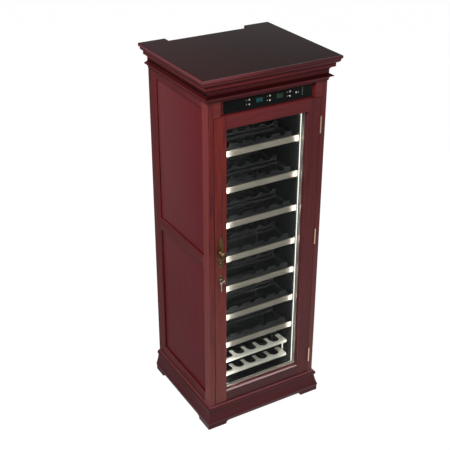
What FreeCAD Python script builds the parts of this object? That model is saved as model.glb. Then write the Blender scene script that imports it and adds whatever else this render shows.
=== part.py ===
"""Tall glazed wine cabinet in frame-and-panel mahogany, millimetres.

Origin on the floor under the middle of the cabinet, +Z up, the door faces -Y, +X is on the hinge side.
Depths written as "set back" are measured from the front face of the door and posts.
"""
import FreeCAD
import Part
import math
import os

V = FreeCAD.Vector

# Overall sizes
overall_height = 1900.0
body_width = 633.0
body_depth = 584.0
crown_rear_overhang = 6.0
cut_overrun = 5.0

# Top board
top_board_thickness = 18.0
top_board_overhang = 6.0
top_upper_round = 4.0
top_lower_round = 8.0
vent_notch_margin = 95.5
vent_notch_depth = 42.0

# Cornice moulding, from the top board down: fillet, ovolo, fascia, cove, neck and a pointed astragal
cornice_fillet = 2.0
ovolo_radius = 16.0
fascia_height = 19.0
cove_radius = 21.0
neck_height = 14.0
neck_projection = 3.0
astragal_projection = 20.5
astragal_fall = 8.5
astragal_nose = 3.0
astragal_fillet = 3.0

# Plinth boards, from the floor up: foot face, flare, cavetto and bead
plinth_height = 127.0
plinth_lip = 22.0
plinth_thickness = 18.0
foot_projection = 22.0
foot_face_height = 28.0
flare_projection = 25.0
flare_height = 37.0
cavetto_top_projection = 9.0
plinth_bead_height = 29.0
cavetto_sag = 2.0
plinth_bead_projection = 15.0
front_foot_length = 105.0
rear_foot_length = 80.0
foot_cut_height = 19.0
foot_cut_round = 18.0
plinth_rear_rail_thickness = 18.0
arch_mid_shares = (0.25, 0.66)

# Bottom board, side frames and panels
bottom_board_thickness = 18.0
side_thickness = 24.0
rear_stile_width = 74.0
side_top_rail_height = 143.0
side_mid_rail_share = 0.456
side_mid_rail_height = 72.0
side_bottom_rail_height = 63.0
panel_thickness = 8.0
panel_recess = 10.0
panel_tongue = 8.0
panel_bevel = 5.0
post_edge_round = 4.0

# Front posts and header
post_width = 29.5
header_thickness = 40.0
niche_height = 74.0
niche_margin = 36.0
niche_depth = 18.0

# Door frame and glass
door_thickness = 48.0
door_hinge_gap = 2.5
door_latch_gap = 4.0
door_end_gap = 3.0
stile_width = 62.0
door_top_rail_height = 59.0
door_bottom_rail_height = 57.0
glass_setback = 26.0
pane_thickness = 4.0
rebate_width = 10.0
glass_edge_clearance = 2.0
spacer_width = 12.0
bead_width = 8.0
bead_setback = 2.0
bead_quirk = 1.5
bead_lip = 4.0
bead_bulge_shares = (0.55, 0.30)
gasket_space = 8.0
gasket_clearance = 0.3
gasket_width = 26.0
gasket_inset = 2.0
gasket_foot = 3.0
gasket_bulb_width = 14.0

# Butt hinges
hinge_height = 80.0
hinge_top_inset = 136.0
hinge_bottom_inset = 113.0
hinge_middle_share = 0.533
barrel_radius = 4.0
barrel_clearance = 0.3
leaf_clearance = 0.3
leaf_depth = 24.0
knuckle_count = 5
knuckle_gap = 0.3
pin_radius = 2.0
pin_clearance = 0.05
pin_cap_height = 3.0

# Knob and its back plate
knob_inset = 29.0
knob_height_share = 0.567
knob_radius = 19.0
knob_neck_radius = 7.0
knob_reach = 42.0
knob_collar_share = 0.32
knob_rim_share = 0.62
back_plate_height = 187.0
back_plate_width = 38.0
back_plate_thickness = 3.0
back_plate_shoulder_share = 0.74
back_plate_waist_share = 0.62
back_plate_tip_share = 0.20
back_plate_swell_share = 0.30

# Lock: key with its crank, sliding bolt, case and strike plate
key_inset = 27.0
key_height_share = 0.4785
escutcheon_width = 24.0
escutcheon_height = 48.0
escutcheon_thickness = 2.0
escutcheon_waist_share = 0.8
key_shank_radius = 2.5
key_running_clearance = 0.08
key_wood_clearance = 1.0
key_reach = 44.0
key_bow_radius = 11.0
key_bow_hole_radius = 6.0
key_bow_thickness = 3.0
key_crank_radius = 6.0
key_crank_start_angle = 45.0
key_crank_web = 2.5
key_crank_rim = 1.0
key_crank_clearance = 0.3
key_pin_radius = 1.5
lock_case_room = 1.26
lock_case_height = 44.0
lock_case_setback = 14.0
lock_case_depth = 22.0
lock_case_wall = 2.0
bolt_thickness = 6.0
bolt_height = 12.0
bolt_tail_length = 11.0
bolt_tail_rise = 4.0
bolt_inset = 0.3
bolt_clearance = 0.25
bolt_slot_clearance = 0.4
strike_thickness = 1.5
strike_height = 60.0
strike_depth = 20.0
strike_pocket_depth = 6.0
strike_clearance = 1.0
ring_radius = 9.0
ring_wire_radius = 0.9
ring_clearance = 0.3
ring_standoff = 12.0
spare_bow_radius = 8.0
spare_blade_length = 38.0
spare_blade_width = 5.0
spare_thickness = 2.0

# Control strip: fascia, displays and push buttons
fascia_margin = 18.0
fascia_tall = 55.0
fascia_thickness = 4.0
fascia_shift = 5.5
fascia_lift = 5.5
button_pitch = 108.0
button_row_pitch = 21.5
button_radius = 4.5
button_hole_clearance = 0.3
button_flange_radius = 6.2
button_flange_thickness = 2.0
button_flange_gap = 0.05
button_stand = 1.5
button_pocket_depth = 6.0
button_pocket_clearance = 0.8
button_block_lift = 5.8
button_block_shift = 5.0
power_button_offset = 34.0
display_width = 43.0
display_height = 33.0
display_recess = 0.5
control_board_width = 180.0
control_board_height = 70.0
control_board_thickness = 12.0

# Cold box
mouth_cover = 63.0
liner_frame_thickness = 4.0
ceiling_thickness = 58.0
rear_wall_thickness = 62.0
back_panel_thickness = 6.0
vent_duct_depth = 41.0
machine_bay_depth = 182.0
step_height = 360.0
step_wall = 50.0
light_strip_width = 8.0
light_strip_depth = 8.0

# Shelves
first_shelf_share = 0.1169
upper_pitch_share = 0.1542
upper_shelf_count = 4
lower_shelf_count = 3
lowest_shelf_clearance = 38.0
light_clearance = 3.0
shelf_rear_gap = 14.0
shelf_side_gap = 5.0
shelf_front_height = 30.0
shelf_sheet = 2.0
shelf_front_return = 12.0
shelf_rail = 12.0
runner_width = 14.0
runner_height = 8.0
bottle_count = 5
bottle_pitch_share = 0.1836
neck_radius = 15.5
bottle_slope_share = 0.25
neck_axis_lift = 8.0
cradle_thickness = 4.0
cradle_rise = 18.0
cradle_strip = 7.0
cradle_place_shares = (0.115, 0.436, 0.846)

# Two-tier neck rack
rack_side_gap = 27.0
rack_setback = 20.0
rack_first_lip_share = 0.215
rack_tier_share = 0.392
rack_lip_height = 16.0
rack_sheet = 3.0
rack_fall = 6.0
rack_comb_length = 75.0
rack_depth = 160.0
rack_slot_pitch_share = 0.1823
rack_slot_width = 54.0
rack_slot_margin = 16.0
rack_rail_width = 8.0
rack_rail_height = 9.0
rack_cradle_height = 14.0
rack_cradle_share = 0.47
rack_leg = 6.0
rack_post_place = 32.0
rack_foot_place = 92.0
rack_rear_leg_place = 136.0

# Fan in the upper rear of the cold box
fan_housing_width = 300.0
fan_housing_height = 160.0
fan_front_clearance = 3.5
fan_housing_drop = 32.0
fan_housing_wall = 2.5
fan_throat_radius = 54.0
fan_guard_bar = 3.0
fan_guard_count = 5
motor_radius = 18.0
motor_length = 13.0
motor_arm_width = 8.0
fan_shaft_radius = 3.0
fan_shaft_length = 14.0
fan_shaft_clearance = 0.05
fan_hub_radius = 20.0
fan_hub_gap = 2.0
fan_hub_length = 14.0
fan_blade_count = 7
fan_blade_radius = 50.0
fan_blade_chord = 15.0
fan_blade_thickness = 1.6
fan_blade_pitch_angle = 35.0

# Compressor and condenser
compressor_side_share = -0.3125
compressor_clearance = 5.0
compressor_radius = 70.0
compressor_headroom = 22.0
compressor_shoulder_share = 0.31
compressor_plate_width = 190.0
compressor_plate_depth = 120.0
compressor_plate_thickness = 4.0
compressor_foot_radius = 12.0
compressor_foot_height = 16.0
compressor_foot_inset = 16.0
condenser_tube_radius = 3.0
condenser_stand = 16.0
condenser_side_margin = 102.5
condenser_floor_gap = 120.0
condenser_top_gap = 412.0
condenser_pass_count = 9
condenser_strap_width = 12.0
condenser_strap_share = 0.96
condenser_strap_overlap = 20.0

# Places that follow from the driving dimensions
cornice_projection = neck_projection + cove_radius + ovolo_radius
astragal_hollow = astragal_projection - neck_projection
astragal_height = astragal_fall + astragal_nose + astragal_hollow + astragal_fillet
cornice_height = cornice_fillet + ovolo_radius + fascia_height + cove_radius + neck_height + astragal_height
crown_overhang = cornice_projection + top_board_overhang
plinth_ledge_height = plinth_height - plinth_lip
cavetto_top_height = plinth_height - plinth_bead_height
body_half = body_width / 2
front_y = (crown_overhang - crown_rear_overhang - body_depth) / 2
rear_y = front_y + body_depth
top_low = overall_height - top_board_thickness
cornice_low = top_low - cornice_height
header_low = cornice_low - niche_height
carcass_low = plinth_ledge_height + bottom_board_thickness
side_inner = body_half - side_thickness
post_inner = body_half - post_width
post_depth = door_thickness + gasket_space
post_back_y = front_y + post_depth
stile_front_y = rear_y - rear_stile_width
door_left = -post_inner + door_latch_gap
door_right = post_inner - door_hinge_gap
door_low = plinth_height + door_end_gap
door_high = header_low - door_end_gap
sight_left = door_left + stile_width
sight_right = door_right - stile_width
sight_low = door_low + door_bottom_rail_height
sight_high = door_high - door_top_rail_height
door_back_y = front_y + door_thickness
cavity_half = post_inner - mouth_cover
cavity_low = sight_low
cavity_high = sight_high
cavity_front_y = post_back_y + liner_frame_thickness
back_panel_rear_y = rear_y - vent_duct_depth
back_panel_y = back_panel_rear_y - back_panel_thickness
cavity_rear_y = back_panel_y - rear_wall_thickness
ceiling_high = cavity_high + ceiling_thickness
bay_front_y = rear_y - machine_bay_depth
step_front_y = bay_front_y - step_wall
bay_high = step_height - step_wall
niche_back_y = front_y + niche_depth
fascia_front_y = niche_back_y - fascia_thickness
fascia_low = header_low + fascia_lift
hinge_x = (door_right + post_inner) / 2
hinge_y = front_y - barrel_radius - barrel_clearance
door_height = door_high - door_low
knob_x = door_left + knob_inset
knob_z = door_low + knob_height_share * door_height
key_x = door_left + key_inset
key_z = door_low + key_height_share * door_height
leaf_thickness = (door_hinge_gap - leaf_clearance) / 2
hinge_heights = (
    door_high - hinge_top_inset,
    door_low + hinge_middle_share * door_height,
    door_low + hinge_bottom_inset,
)
bolt_setback = lock_case_setback + (lock_case_depth - bolt_thickness) / 2
key_pin_offset = key_crank_radius * math.sin(math.radians(key_crank_start_angle))
bolt_travel = 2 * key_pin_offset


def block(x_low, x_high, y_low, y_high, z_low, z_high):
    """Box between two corners."""
    return Part.makeBox(x_high - x_low, y_high - y_low, z_high - z_low, V(x_low, y_low, z_low))


def rod(radius, start, along):
    """Round bar from a start point along a vector."""
    return Part.makeCylinder(radius, along.Length, start, along)


def outline(start, steps):
    """Flat face inside lines (a step with one point) and arcs (a point on the way and an end)."""
    edges = []
    here = start
    for step in steps:
        if len(step) == 1:
            edges.append(Part.LineSegment(here, step[0]).toShape())
        else:
            edges.append(Part.Arc(here, step[0], step[1]).toShape())
        here = step[-1]
    if here.distanceToPoint(start) > 0:
        edges.append(Part.LineSegment(here, start).toShape())
    return Part.Face(Part.Wire(edges))


def polygon_prism(points, along):
    """Prism over a plain polygon."""
    return outline(points[0], [(point,) for point in points[1:]]).extrude(along)


def mirrored(shape):
    """The same piece on the other side of the cabinet."""
    return shape.mirror(V(0, 0, 0), V(1, 0, 0))


def on_arc(centre_a, centre_b, radius, angle):
    """Point on a circle in a section, as a pair of section coordinates."""
    turn = math.radians(angle)
    return centre_a + radius * math.cos(turn), centre_b + radius * math.sin(turn)


def cap_middle(radius, height):
    """Point half-way up a round cap over a circle, as a radius and a height."""
    sphere = (radius ** 2 + height ** 2) / (2 * height)
    half_turn = math.atan2(radius, sphere - height) / 2
    return sphere * math.sin(half_turn), height - sphere * (1 - math.cos(half_turn))


def body_runs(section, inset, reach, low, high):
    """Front, left and right runs of a moulding round the body, mitred at the front corners."""
    x_in = body_half - inset
    x_out = body_half + reach
    y_in = front_y + inset
    y_out = front_y - reach
    rise = V(0, 0, high - low)
    front_plan = [V(-x_out, y_out, low), V(x_out, y_out, low), V(x_in, y_in, low), V(-x_in, y_in, low)]
    side_plan = [V(x_out, y_out, low), V(x_out, rear_y, low), V(x_in, rear_y, low), V(x_in, y_in, low)]
    front = section(lambda out, z: V(-x_out, front_y - out, z)).extrude(V(2 * x_out, 0, 0))
    front = front.common(polygon_prism(front_plan, rise))
    right = section(lambda out, z: V(body_half + out, y_out, z)).extrude(V(0, rear_y - y_out, 0))
    right = right.common(polygon_prism(side_plan, rise))
    return [front, mirrored(right), right]


def door_ring(section, out, into):
    """Four mitred runs of one section round the door's sight opening.

    Section coordinates: distance outward from the opening's edge, and set back from the front.
    """
    x_low_out = sight_left - out
    x_high_out = sight_right + out
    z_low_out = sight_low - out
    z_high_out = sight_high + out
    x_low_in = sight_left + into
    x_high_in = sight_right - into
    z_low_in = sight_low + into
    z_high_in = sight_high - into
    through = V(0, body_depth, 0)

    def mitred(run, corners):
        points = [V(x, front_y, z) for x, z in corners]
        return run.common(polygon_prism(points, through))

    across = V(x_high_out - x_low_out, 0, 0)
    upward = V(0, 0, z_high_out - z_low_out)
    bottom = section(lambda n, d: V(x_low_out, front_y + d, sight_low - n)).extrude(across)
    top = section(lambda n, d: V(x_low_out, front_y + d, sight_high + n)).extrude(across)
    left = section(lambda n, d: V(sight_left - n, front_y + d, z_low_out)).extrude(upward)
    right = section(lambda n, d: V(sight_right + n, front_y + d, z_low_out)).extrude(upward)
    outer_bottom = [(x_low_out, z_low_out), (x_high_out, z_low_out)]
    inner_bottom = [(x_high_in, z_low_in), (x_low_in, z_low_in)]
    outer_top = [(x_low_out, z_high_out), (x_high_out, z_high_out)]
    inner_top = [(x_high_in, z_high_in), (x_low_in, z_high_in)]
    return [
        mitred(bottom, outer_bottom + inner_bottom),
        mitred(top, outer_top + inner_top),
        mitred(left, [outer_bottom[0], outer_top[0], inner_top[1], inner_bottom[1]]),
        mitred(right, [outer_bottom[1], outer_top[1], inner_top[0], inner_bottom[0]]),
    ]


def make_top_board():
    """Flat board with a rounded edge on three sides and the vent notch at the rear."""
    half = body_half + crown_overhang
    board = block(-half, half, front_y - crown_overhang, rear_y + crown_rear_overhang, top_low, overall_height)
    upper = []
    lower = []
    for edge in board.Edges:
        middle = edge.CenterOfMass
        at_rear = middle.y > rear_y
        if at_rear or edge.BoundBox.ZLength > 0:
            continue
        if middle.z > top_low + top_lower_round:
            upper.append(edge)
        else:
            lower.append(edge)
    rounded = board.makeFillet(top_upper_round, upper)
    lower_again = []
    for edge in rounded.Edges:
        box = edge.BoundBox
        if box.ZMax - top_low < top_upper_round and box.YMin < rear_y:
            lower_again.append(edge)
    rounded = rounded.makeFillet(top_lower_round, lower_again)
    notch_half = body_half - vent_notch_margin
    board_rear = rear_y + crown_rear_overhang
    notch = block(
        -notch_half, notch_half, board_rear - vent_notch_depth, board_rear + cut_overrun,
        top_low - cut_overrun, overall_height + cut_overrun,
    )
    return rounded.cut(notch)


def cornice_section(place):
    """Fillet, ovolo, fascia, cove, neck and astragal of the cornice."""
    fascia = neck_projection + cove_radius
    ovolo_high = top_low - cornice_fillet
    fascia_high = ovolo_high - ovolo_radius
    cove_high = fascia_high - fascia_height
    cove_low = cove_high - cove_radius
    astragal_high = cornice_low + astragal_height
    nose_high = astragal_high - astragal_fall
    nose_low = nose_high - astragal_nose
    hollow_low = cornice_low + astragal_fillet
    ovolo_mid = on_arc(fascia, ovolo_high, ovolo_radius, -45)
    cove_mid = on_arc(fascia, cove_low, cove_radius, 135)
    hollow_mid = on_arc(astragal_projection, hollow_low, astragal_hollow, 135)
    return outline(place(0, top_low), [
        (place(cornice_projection, top_low),),
        (place(cornice_projection, ovolo_high),),
        (place(*ovolo_mid), place(fascia, fascia_high)),
        (place(fascia, cove_high),),
        (place(*cove_mid), place(neck_projection, cove_low)),
        (place(neck_projection, astragal_high),),
        (place(astragal_projection, nose_high),),
        (place(astragal_projection, nose_low),),
        (place(*hollow_mid), place(neck_projection, hollow_low)),
        (place(neck_projection, cornice_low),),
        (place(0, cornice_low),),
    ])


def make_cornice():
    runs = body_runs(cornice_section, 0, cornice_projection, cornice_low, top_low)
    return Part.makeCompound(runs)


def plinth_section(place):
    """Foot face, flare, cavetto and bead, with the ledge that carries the bottom board."""
    cavetto_mid_out = (flare_projection + cavetto_top_projection) / 2 - cavetto_sag
    cavetto_mid_z = (flare_height + cavetto_top_height) / 2
    bead_mid_z = (cavetto_top_height + plinth_height) / 2
    return outline(place(-plinth_thickness, 0), [
        (place(foot_projection, 0),),
        (place(foot_projection, foot_face_height),),
        (place(flare_projection, flare_height),),
        (place(cavetto_mid_out, cavetto_mid_z), place(cavetto_top_projection, cavetto_top_height)),
        (place(plinth_bead_projection, bead_mid_z), place(0, plinth_height)),
        (place(0, plinth_ledge_height),),
        (place(-plinth_thickness, plinth_ledge_height),),
    ])


def foot_arch(start, end, point):
    """Opening between two bracket feet, with round shoulders; point maps (run, height) to space."""
    mid_run_share, mid_height_share = arch_mid_shares
    near_mid = point(start + mid_run_share * foot_cut_round, mid_height_share * foot_cut_height)
    far_mid = point(end - mid_run_share * foot_cut_round, mid_height_share * foot_cut_height)
    return outline(point(start, -cut_overrun), [
        (point(start, 0),),
        (near_mid, point(start + foot_cut_round, foot_cut_height)),
        (point(end - foot_cut_round, foot_cut_height),),
        (far_mid, point(end, 0)),
        (point(end, -cut_overrun),),
    ])


def make_plinth():
    """Three mitred boards on bracket feet and a plain rear rail."""
    front, left, right = body_runs(plinth_section, plinth_thickness, flare_projection, 0, plinth_height)
    x_out = body_half + foot_projection
    y_out = front_y - foot_projection
    board_span = flare_projection + plinth_thickness + cut_overrun
    front_arch = foot_arch(
        -x_out + front_foot_length, x_out - front_foot_length,
        lambda run, height: V(run, front_y - flare_projection - cut_overrun, height),
    )
    front = front.cut(front_arch.extrude(V(0, board_span + cut_overrun, 0)))
    side_arch = foot_arch(
        y_out + front_foot_length, rear_y - rear_foot_length,
        lambda run, height: V(body_half - plinth_thickness - cut_overrun, run, height),
    )
    right = right.cut(side_arch.extrude(V(board_span + cut_overrun, 0, 0)))
    left = mirrored(right)
    inner = body_half - plinth_thickness
    rear = block(-inner, inner, rear_y - plinth_rear_rail_thickness, rear_y, 0, plinth_ledge_height)
    return Part.makeCompound([front, left, right, rear])


def make_bottom_board():
    return block(-body_half, body_half, front_y, rear_y, plinth_ledge_height, carcass_low)


def side_panel_slab(low, high):
    """Flat panel on the right side with its tongue all round."""
    outer = body_half - panel_recess
    return block(
        outer - panel_thickness, outer, post_back_y - panel_tongue, stile_front_y + panel_tongue,
        low - panel_tongue, high + panel_tongue,
    )


side_mid_rail_low = carcass_low + side_mid_rail_share * (top_low - carcass_low)
side_mid_rail_high = side_mid_rail_low + side_mid_rail_height
side_bottom_rail_high = carcass_low + side_bottom_rail_height
side_top_rail_low = top_low - side_top_rail_height


def make_right_panels():
    lower = side_panel_slab(side_bottom_rail_high, side_mid_rail_low)
    upper = side_panel_slab(side_mid_rail_high, side_top_rail_low)
    return Part.makeCompound([lower, upper])


def panel_bevel_cutter(low, high):
    """What the bevel round a panel opening takes off the frame."""
    def ring(x, margin):
        corners = [
            V(x, post_back_y - margin, low - margin),
            V(x, stile_front_y + margin, low - margin),
            V(x, stile_front_y + margin, high + margin),
            V(x, post_back_y - margin, high + margin),
        ]
        return Part.makePolygon(corners + corners[:1])
    inner = ring(body_half - panel_bevel, 0)
    outer = ring(body_half + cut_overrun, panel_bevel + cut_overrun)
    return Part.makeLoft([inner, outer], True, True)


panel_bevels = Part.makeCompound([
    panel_bevel_cutter(side_bottom_rail_high, side_mid_rail_low),
    panel_bevel_cutter(side_mid_rail_high, side_top_rail_low),
])


def make_right_side_frame(panels):
    """Rear stile and three rails, grooved for the panels and bevelled round them."""
    stile = block(side_inner, body_half, stile_front_y, rear_y, carcass_low, top_low)
    members = [stile]
    rail_spans = (
        (carcass_low, side_bottom_rail_high),
        (side_mid_rail_low, side_mid_rail_high),
        (side_top_rail_low, top_low),
    )
    for low, high in rail_spans:
        members.append(block(side_inner, body_half, post_back_y, stile_front_y, low, high))
    return Part.makeCompound([member.cut(panels).cut(panel_bevels) for member in members])


def make_right_post(panels):
    """Front post with a rounded outer edge between the plinth and the cornice."""
    post = block(post_inner, body_half, front_y, post_back_y, carcass_low, top_low)
    edge = block(
        body_half - post_edge_round, body_half + cut_overrun,
        front_y - cut_overrun, front_y + post_edge_round, plinth_height, cornice_low,
    )
    round_middle = V(body_half - post_edge_round, front_y + post_edge_round, plinth_height)
    edge = edge.cut(rod(post_edge_round, round_middle, V(0, 0, cornice_low - plinth_height)))
    return post.cut(panels).cut(panel_bevels).cut(edge)


def make_left_post(panels):
    """Mirror of the right post, with the pocket that takes the lock bolt."""
    pocket_half = bolt_height / 2 + strike_clearance
    bolt_y = front_y + bolt_setback
    pocket = block(
        -post_inner - strike_pocket_depth, -post_inner + cut_overrun,
        bolt_y - strike_clearance, bolt_y + bolt_thickness + strike_clearance,
        key_z - pocket_half, key_z + pocket_half,
    )
    return mirrored(make_right_post(panels)).cut(pocket)


fascia_middle_z = fascia_low + fascia_tall / 2
button_middle_z = fascia_middle_z + button_block_lift
button_block_x = fascia_shift + button_block_shift
button_columns = [button_block_x + column * button_pitch for column in (-1, 0, 1)]
button_rows = (button_middle_z + button_row_pitch / 2, button_middle_z - button_row_pitch / 2)
button_places = [(x, z) for x in button_columns for z in button_rows]
button_places.append((button_columns[-1] + power_button_offset, button_middle_z))
display_columns = [button_block_x - button_pitch / 2, button_block_x + button_pitch / 2]


def make_header():
    """Board over the door, with the niche for the control strip and pockets behind the buttons."""
    board = block(-post_inner, post_inner, front_y, front_y + header_thickness, header_low, top_low)
    niche_half = post_inner - niche_margin
    niche = block(
        -niche_half, niche_half, front_y - cut_overrun, niche_back_y, header_low - cut_overrun, cornice_low,
    )
    board = board.cut(niche)
    pocket_radius = button_flange_radius + button_pocket_clearance
    for x, z in button_places:
        board = board.cut(rod(pocket_radius, V(x, niche_back_y, z), V(0, button_pocket_depth, 0)))
    return board


def make_fascia():
    """Flat strip with holes for the buttons and windows for the displays."""
    half = post_inner - niche_margin - fascia_margin
    strip = block(
        fascia_shift - half, fascia_shift + half, fascia_front_y, niche_back_y, fascia_low, fascia_low + fascia_tall,
    )
    through = V(0, fascia_thickness + 2 * cut_overrun, 0)
    for x, z in button_places:
        start = V(x, fascia_front_y - cut_overrun, z)
        strip = strip.cut(rod(button_radius + button_hole_clearance, start, through))
    for window in display_blocks(fascia_front_y - cut_overrun):
        strip = strip.cut(window)
    return strip


def display_blocks(display_front_y):
    """The two display windows, from a front plane back to the niche."""
    half = display_width / 2
    low = button_middle_z - display_height / 2
    high = button_middle_z + display_height / 2
    return [block(x - half, x + half, display_front_y, niche_back_y, low, high) for x in display_columns]


def make_button(x, z):
    """Round cap through the fascia, held behind it by a flange."""
    flange_y = niche_back_y + button_flange_gap
    cap_y = fascia_front_y - button_stand
    cap = rod(button_radius, V(x, cap_y, z), V(0, flange_y - cap_y, 0))
    flange = rod(button_flange_radius, V(x, flange_y, z), V(0, button_flange_thickness, 0))
    return cap.fuse(flange)


def make_control_board():
    half = control_board_width / 2
    back = front_y + header_thickness
    middle = (header_low + cornice_low) / 2
    low = middle - control_board_height / 2
    return block(-half, half, back, back + control_board_thickness, low, low + control_board_height)


def rebate_block(x_low, x_high, z_low, z_high):
    """Room for the glass at the back of the door frame."""
    return block(x_low, x_high, front_y + glass_setback, door_back_y + cut_overrun, z_low, z_high)


glass_rebate = rebate_block(
    sight_left - rebate_width, sight_right + rebate_width, sight_low - rebate_width, sight_high + rebate_width,
)
bolt_tail_right = key_x + key_pin_offset + bolt_tail_length / 2
lock_case_right = bolt_tail_right + lock_case_room + lock_case_wall
lock_case_y = front_y + lock_case_setback
lock_case_low = key_z - lock_case_height / 2
lock_case_envelope = block(
    door_left, lock_case_right, lock_case_y, lock_case_y + lock_case_depth,
    lock_case_low, lock_case_low + lock_case_height,
)


def make_door_left_stile():
    """Latch stile with the mortise for the lock and the hole for the key."""
    stile = block(door_left, sight_left, front_y, door_back_y, door_low, door_high)
    key_hole = rod(
        key_shank_radius + key_wood_clearance, V(key_x, front_y - cut_overrun, key_z),
        V(0, lock_case_setback + cut_overrun, 0),
    )
    return stile.cut(glass_rebate).cut(lock_case_envelope).cut(key_hole)


def make_door_right_stile():
    stile = block(sight_right, door_right, front_y, door_back_y, door_low, door_high)
    return stile.cut(glass_rebate)


def make_door_rail(low, high):
    return block(sight_left, sight_right, front_y, door_back_y, low, high).cut(glass_rebate)


def bead_section(place):
    """Ovolo bead in front of the glass: quirk at the front, thin lip on the pane."""
    deep = glass_setback - bead_setback - bead_lip
    bulge_in_share, bulge_deep_share = bead_bulge_shares
    mid = place(
        -bead_quirk - bulge_in_share * (bead_width - bead_quirk),
        bead_setback + bulge_deep_share * deep,
    )
    return outline(place(0, bead_setback), [
        (place(0, glass_setback),),
        (place(-bead_width, glass_setback),),
        (place(-bead_width, glass_setback - bead_lip),),
        (mid, place(-bead_quirk, bead_setback)),
    ])


def make_glazing_bead():
    return Part.makeCompound(door_ring(bead_section, 0, bead_width))


def make_glass_unit():
    """Two panes on a spacer bar."""
    edge = rebate_width - glass_edge_clearance
    x_low = sight_left - edge
    x_high = sight_right + edge
    z_low = sight_low - edge
    z_high = sight_high + edge
    pane_front_y = front_y + glass_setback
    gap_front_y = pane_front_y + pane_thickness
    gap_back_y = door_back_y - pane_thickness
    front = block(x_low, x_high, pane_front_y, gap_front_y, z_low, z_high)
    back = block(x_low, x_high, gap_back_y, door_back_y, z_low, z_high)
    bar_outer = spacer_width - bead_width
    bar = block(
        sight_left - bar_outer, sight_right + bar_outer, gap_front_y, gap_back_y,
        sight_low - bar_outer, sight_high + bar_outer,
    )
    clear = block(
        sight_left + bead_width, sight_right - bead_width, gap_front_y, gap_back_y,
        sight_low + bead_width, sight_high - bead_width,
    )
    return Part.makeCompound([front, bar.cut(clear), back])


def gasket_section(place):
    """Flat foot on the door and a round bulb towards the cold box."""
    foot_back = door_thickness + gasket_foot
    tip = door_thickness + gasket_space - gasket_clearance
    outer = gasket_inset + gasket_width
    middle = gasket_inset + gasket_width / 2
    bulb = gasket_bulb_width / 2
    return outline(place(gasket_inset, door_thickness), [
        (place(outer, door_thickness),),
        (place(outer, foot_back),),
        (place(middle + bulb, foot_back),),
        (place(middle, tip), place(middle - bulb, foot_back)),
        (place(gasket_inset, foot_back),),
    ])


def make_gasket():
    runs = door_ring(gasket_section, gasket_inset + gasket_width, 0)
    return runs[0].fuse(runs[1:]).removeSplitter()


def revolved_about_y(x, z, points):
    """Solid of revolution about a line along Y; each step holds (radius, y) pairs."""
    start, steps = points[0], points[1:]
    face = outline(V(x + start[0], start[1], z), [tuple(V(x + r, y, z) for r, y in step) for step in steps])
    return face.revolve(V(x, 0, z), V(0, 1, 0), 360)


def make_knob():
    """Round knob on a flared neck, seated on its back plate."""
    seat_y = front_y - back_plate_thickness
    tip_y = front_y - knob_reach
    length = seat_y - tip_y
    collar_y = seat_y - knob_collar_share * length
    rim_y = seat_y - knob_rim_share * length
    base_radius = 2 * knob_neck_radius
    neck_mid = (knob_neck_radius + base_radius) / 2
    dome_mid, dome_rise = cap_middle(knob_radius, rim_y - tip_y)
    under_mid = ((knob_neck_radius + knob_radius) / 2, (collar_y + rim_y) / 2 + (collar_y - rim_y) / 4)
    return revolved_about_y(knob_x, knob_z, [
        (0, seat_y),
        ((base_radius, seat_y),),
        ((neck_mid - knob_neck_radius / 4, (seat_y + collar_y) / 2), (knob_neck_radius, collar_y)),
        (under_mid, (knob_radius, rim_y)),
        ((dome_mid, rim_y - dome_rise), (0, tip_y)),
    ])


def shield_plate(x, z, width, height, thickness, shoulder_share, waist_share, tip_share):
    """Upright ornamental plate: pointed finials, ogee shoulders and a swelling middle."""
    half_width = width / 2
    half_height = height / 2
    shoulder_z = shoulder_share * half_height
    waist = waist_share * half_width
    tip = tip_share * half_width
    tip_z = (shoulder_z + half_height) / 2
    middle_z = shoulder_z / 2
    swell = waist + back_plate_swell_share * (half_width - waist)

    def at(across, up):
        return V(x + across, front_y - thickness, z + up)

    face = outline(at(0, half_height), [
        (at(tip, tip_z), at(waist, shoulder_z)),
        (at(swell, middle_z), at(half_width, 0)),
        (at(swell, -middle_z), at(waist, -shoulder_z)),
        (at(tip, -tip_z), at(0, -half_height)),
        (at(-tip, -tip_z), at(-waist, -shoulder_z)),
        (at(-swell, -middle_z), at(-half_width, 0)),
        (at(-swell, middle_z), at(-waist, shoulder_z)),
        (at(-tip, tip_z), at(0, half_height)),
    ])
    return face.extrude(V(0, thickness, 0))


def make_back_plate():
    return shield_plate(
        knob_x, knob_z, back_plate_width, back_plate_height, back_plate_thickness,
        back_plate_shoulder_share, back_plate_waist_share, back_plate_tip_share,
    )


def key_bore(start_y, length):
    """Running hole for the key's shank."""
    return rod(key_shank_radius + key_running_clearance, V(key_x, start_y, key_z), V(0, length, 0))


def make_escutcheon():
    plate = shield_plate(
        key_x, key_z, escutcheon_width, escutcheon_height, escutcheon_thickness,
        back_plate_shoulder_share, escutcheon_waist_share, back_plate_tip_share,
    )
    return plate.cut(key_bore(front_y - escutcheon_thickness - cut_overrun, escutcheon_thickness + 2 * cut_overrun))


def make_lock_case():
    """Hollow case with a slot for the bolt and a hole for the key."""
    inside = block(
        door_left + lock_case_wall, lock_case_right - lock_case_wall,
        lock_case_y + lock_case_wall, lock_case_y + lock_case_depth - lock_case_wall,
        lock_case_low + lock_case_wall, lock_case_low + lock_case_height - lock_case_wall,
    )
    bolt_y = front_y + bolt_setback
    slot_half = bolt_height / 2 + bolt_clearance
    slot = block(
        door_left - cut_overrun, door_left + lock_case_wall + cut_overrun,
        bolt_y - bolt_clearance, bolt_y + bolt_thickness + bolt_clearance,
        key_z - slot_half, key_z + slot_half,
    )
    hole = key_bore(lock_case_y - cut_overrun, lock_case_wall + 2 * cut_overrun)
    return lock_case_envelope.cut(inside).cut(slot).cut(hole)


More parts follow.
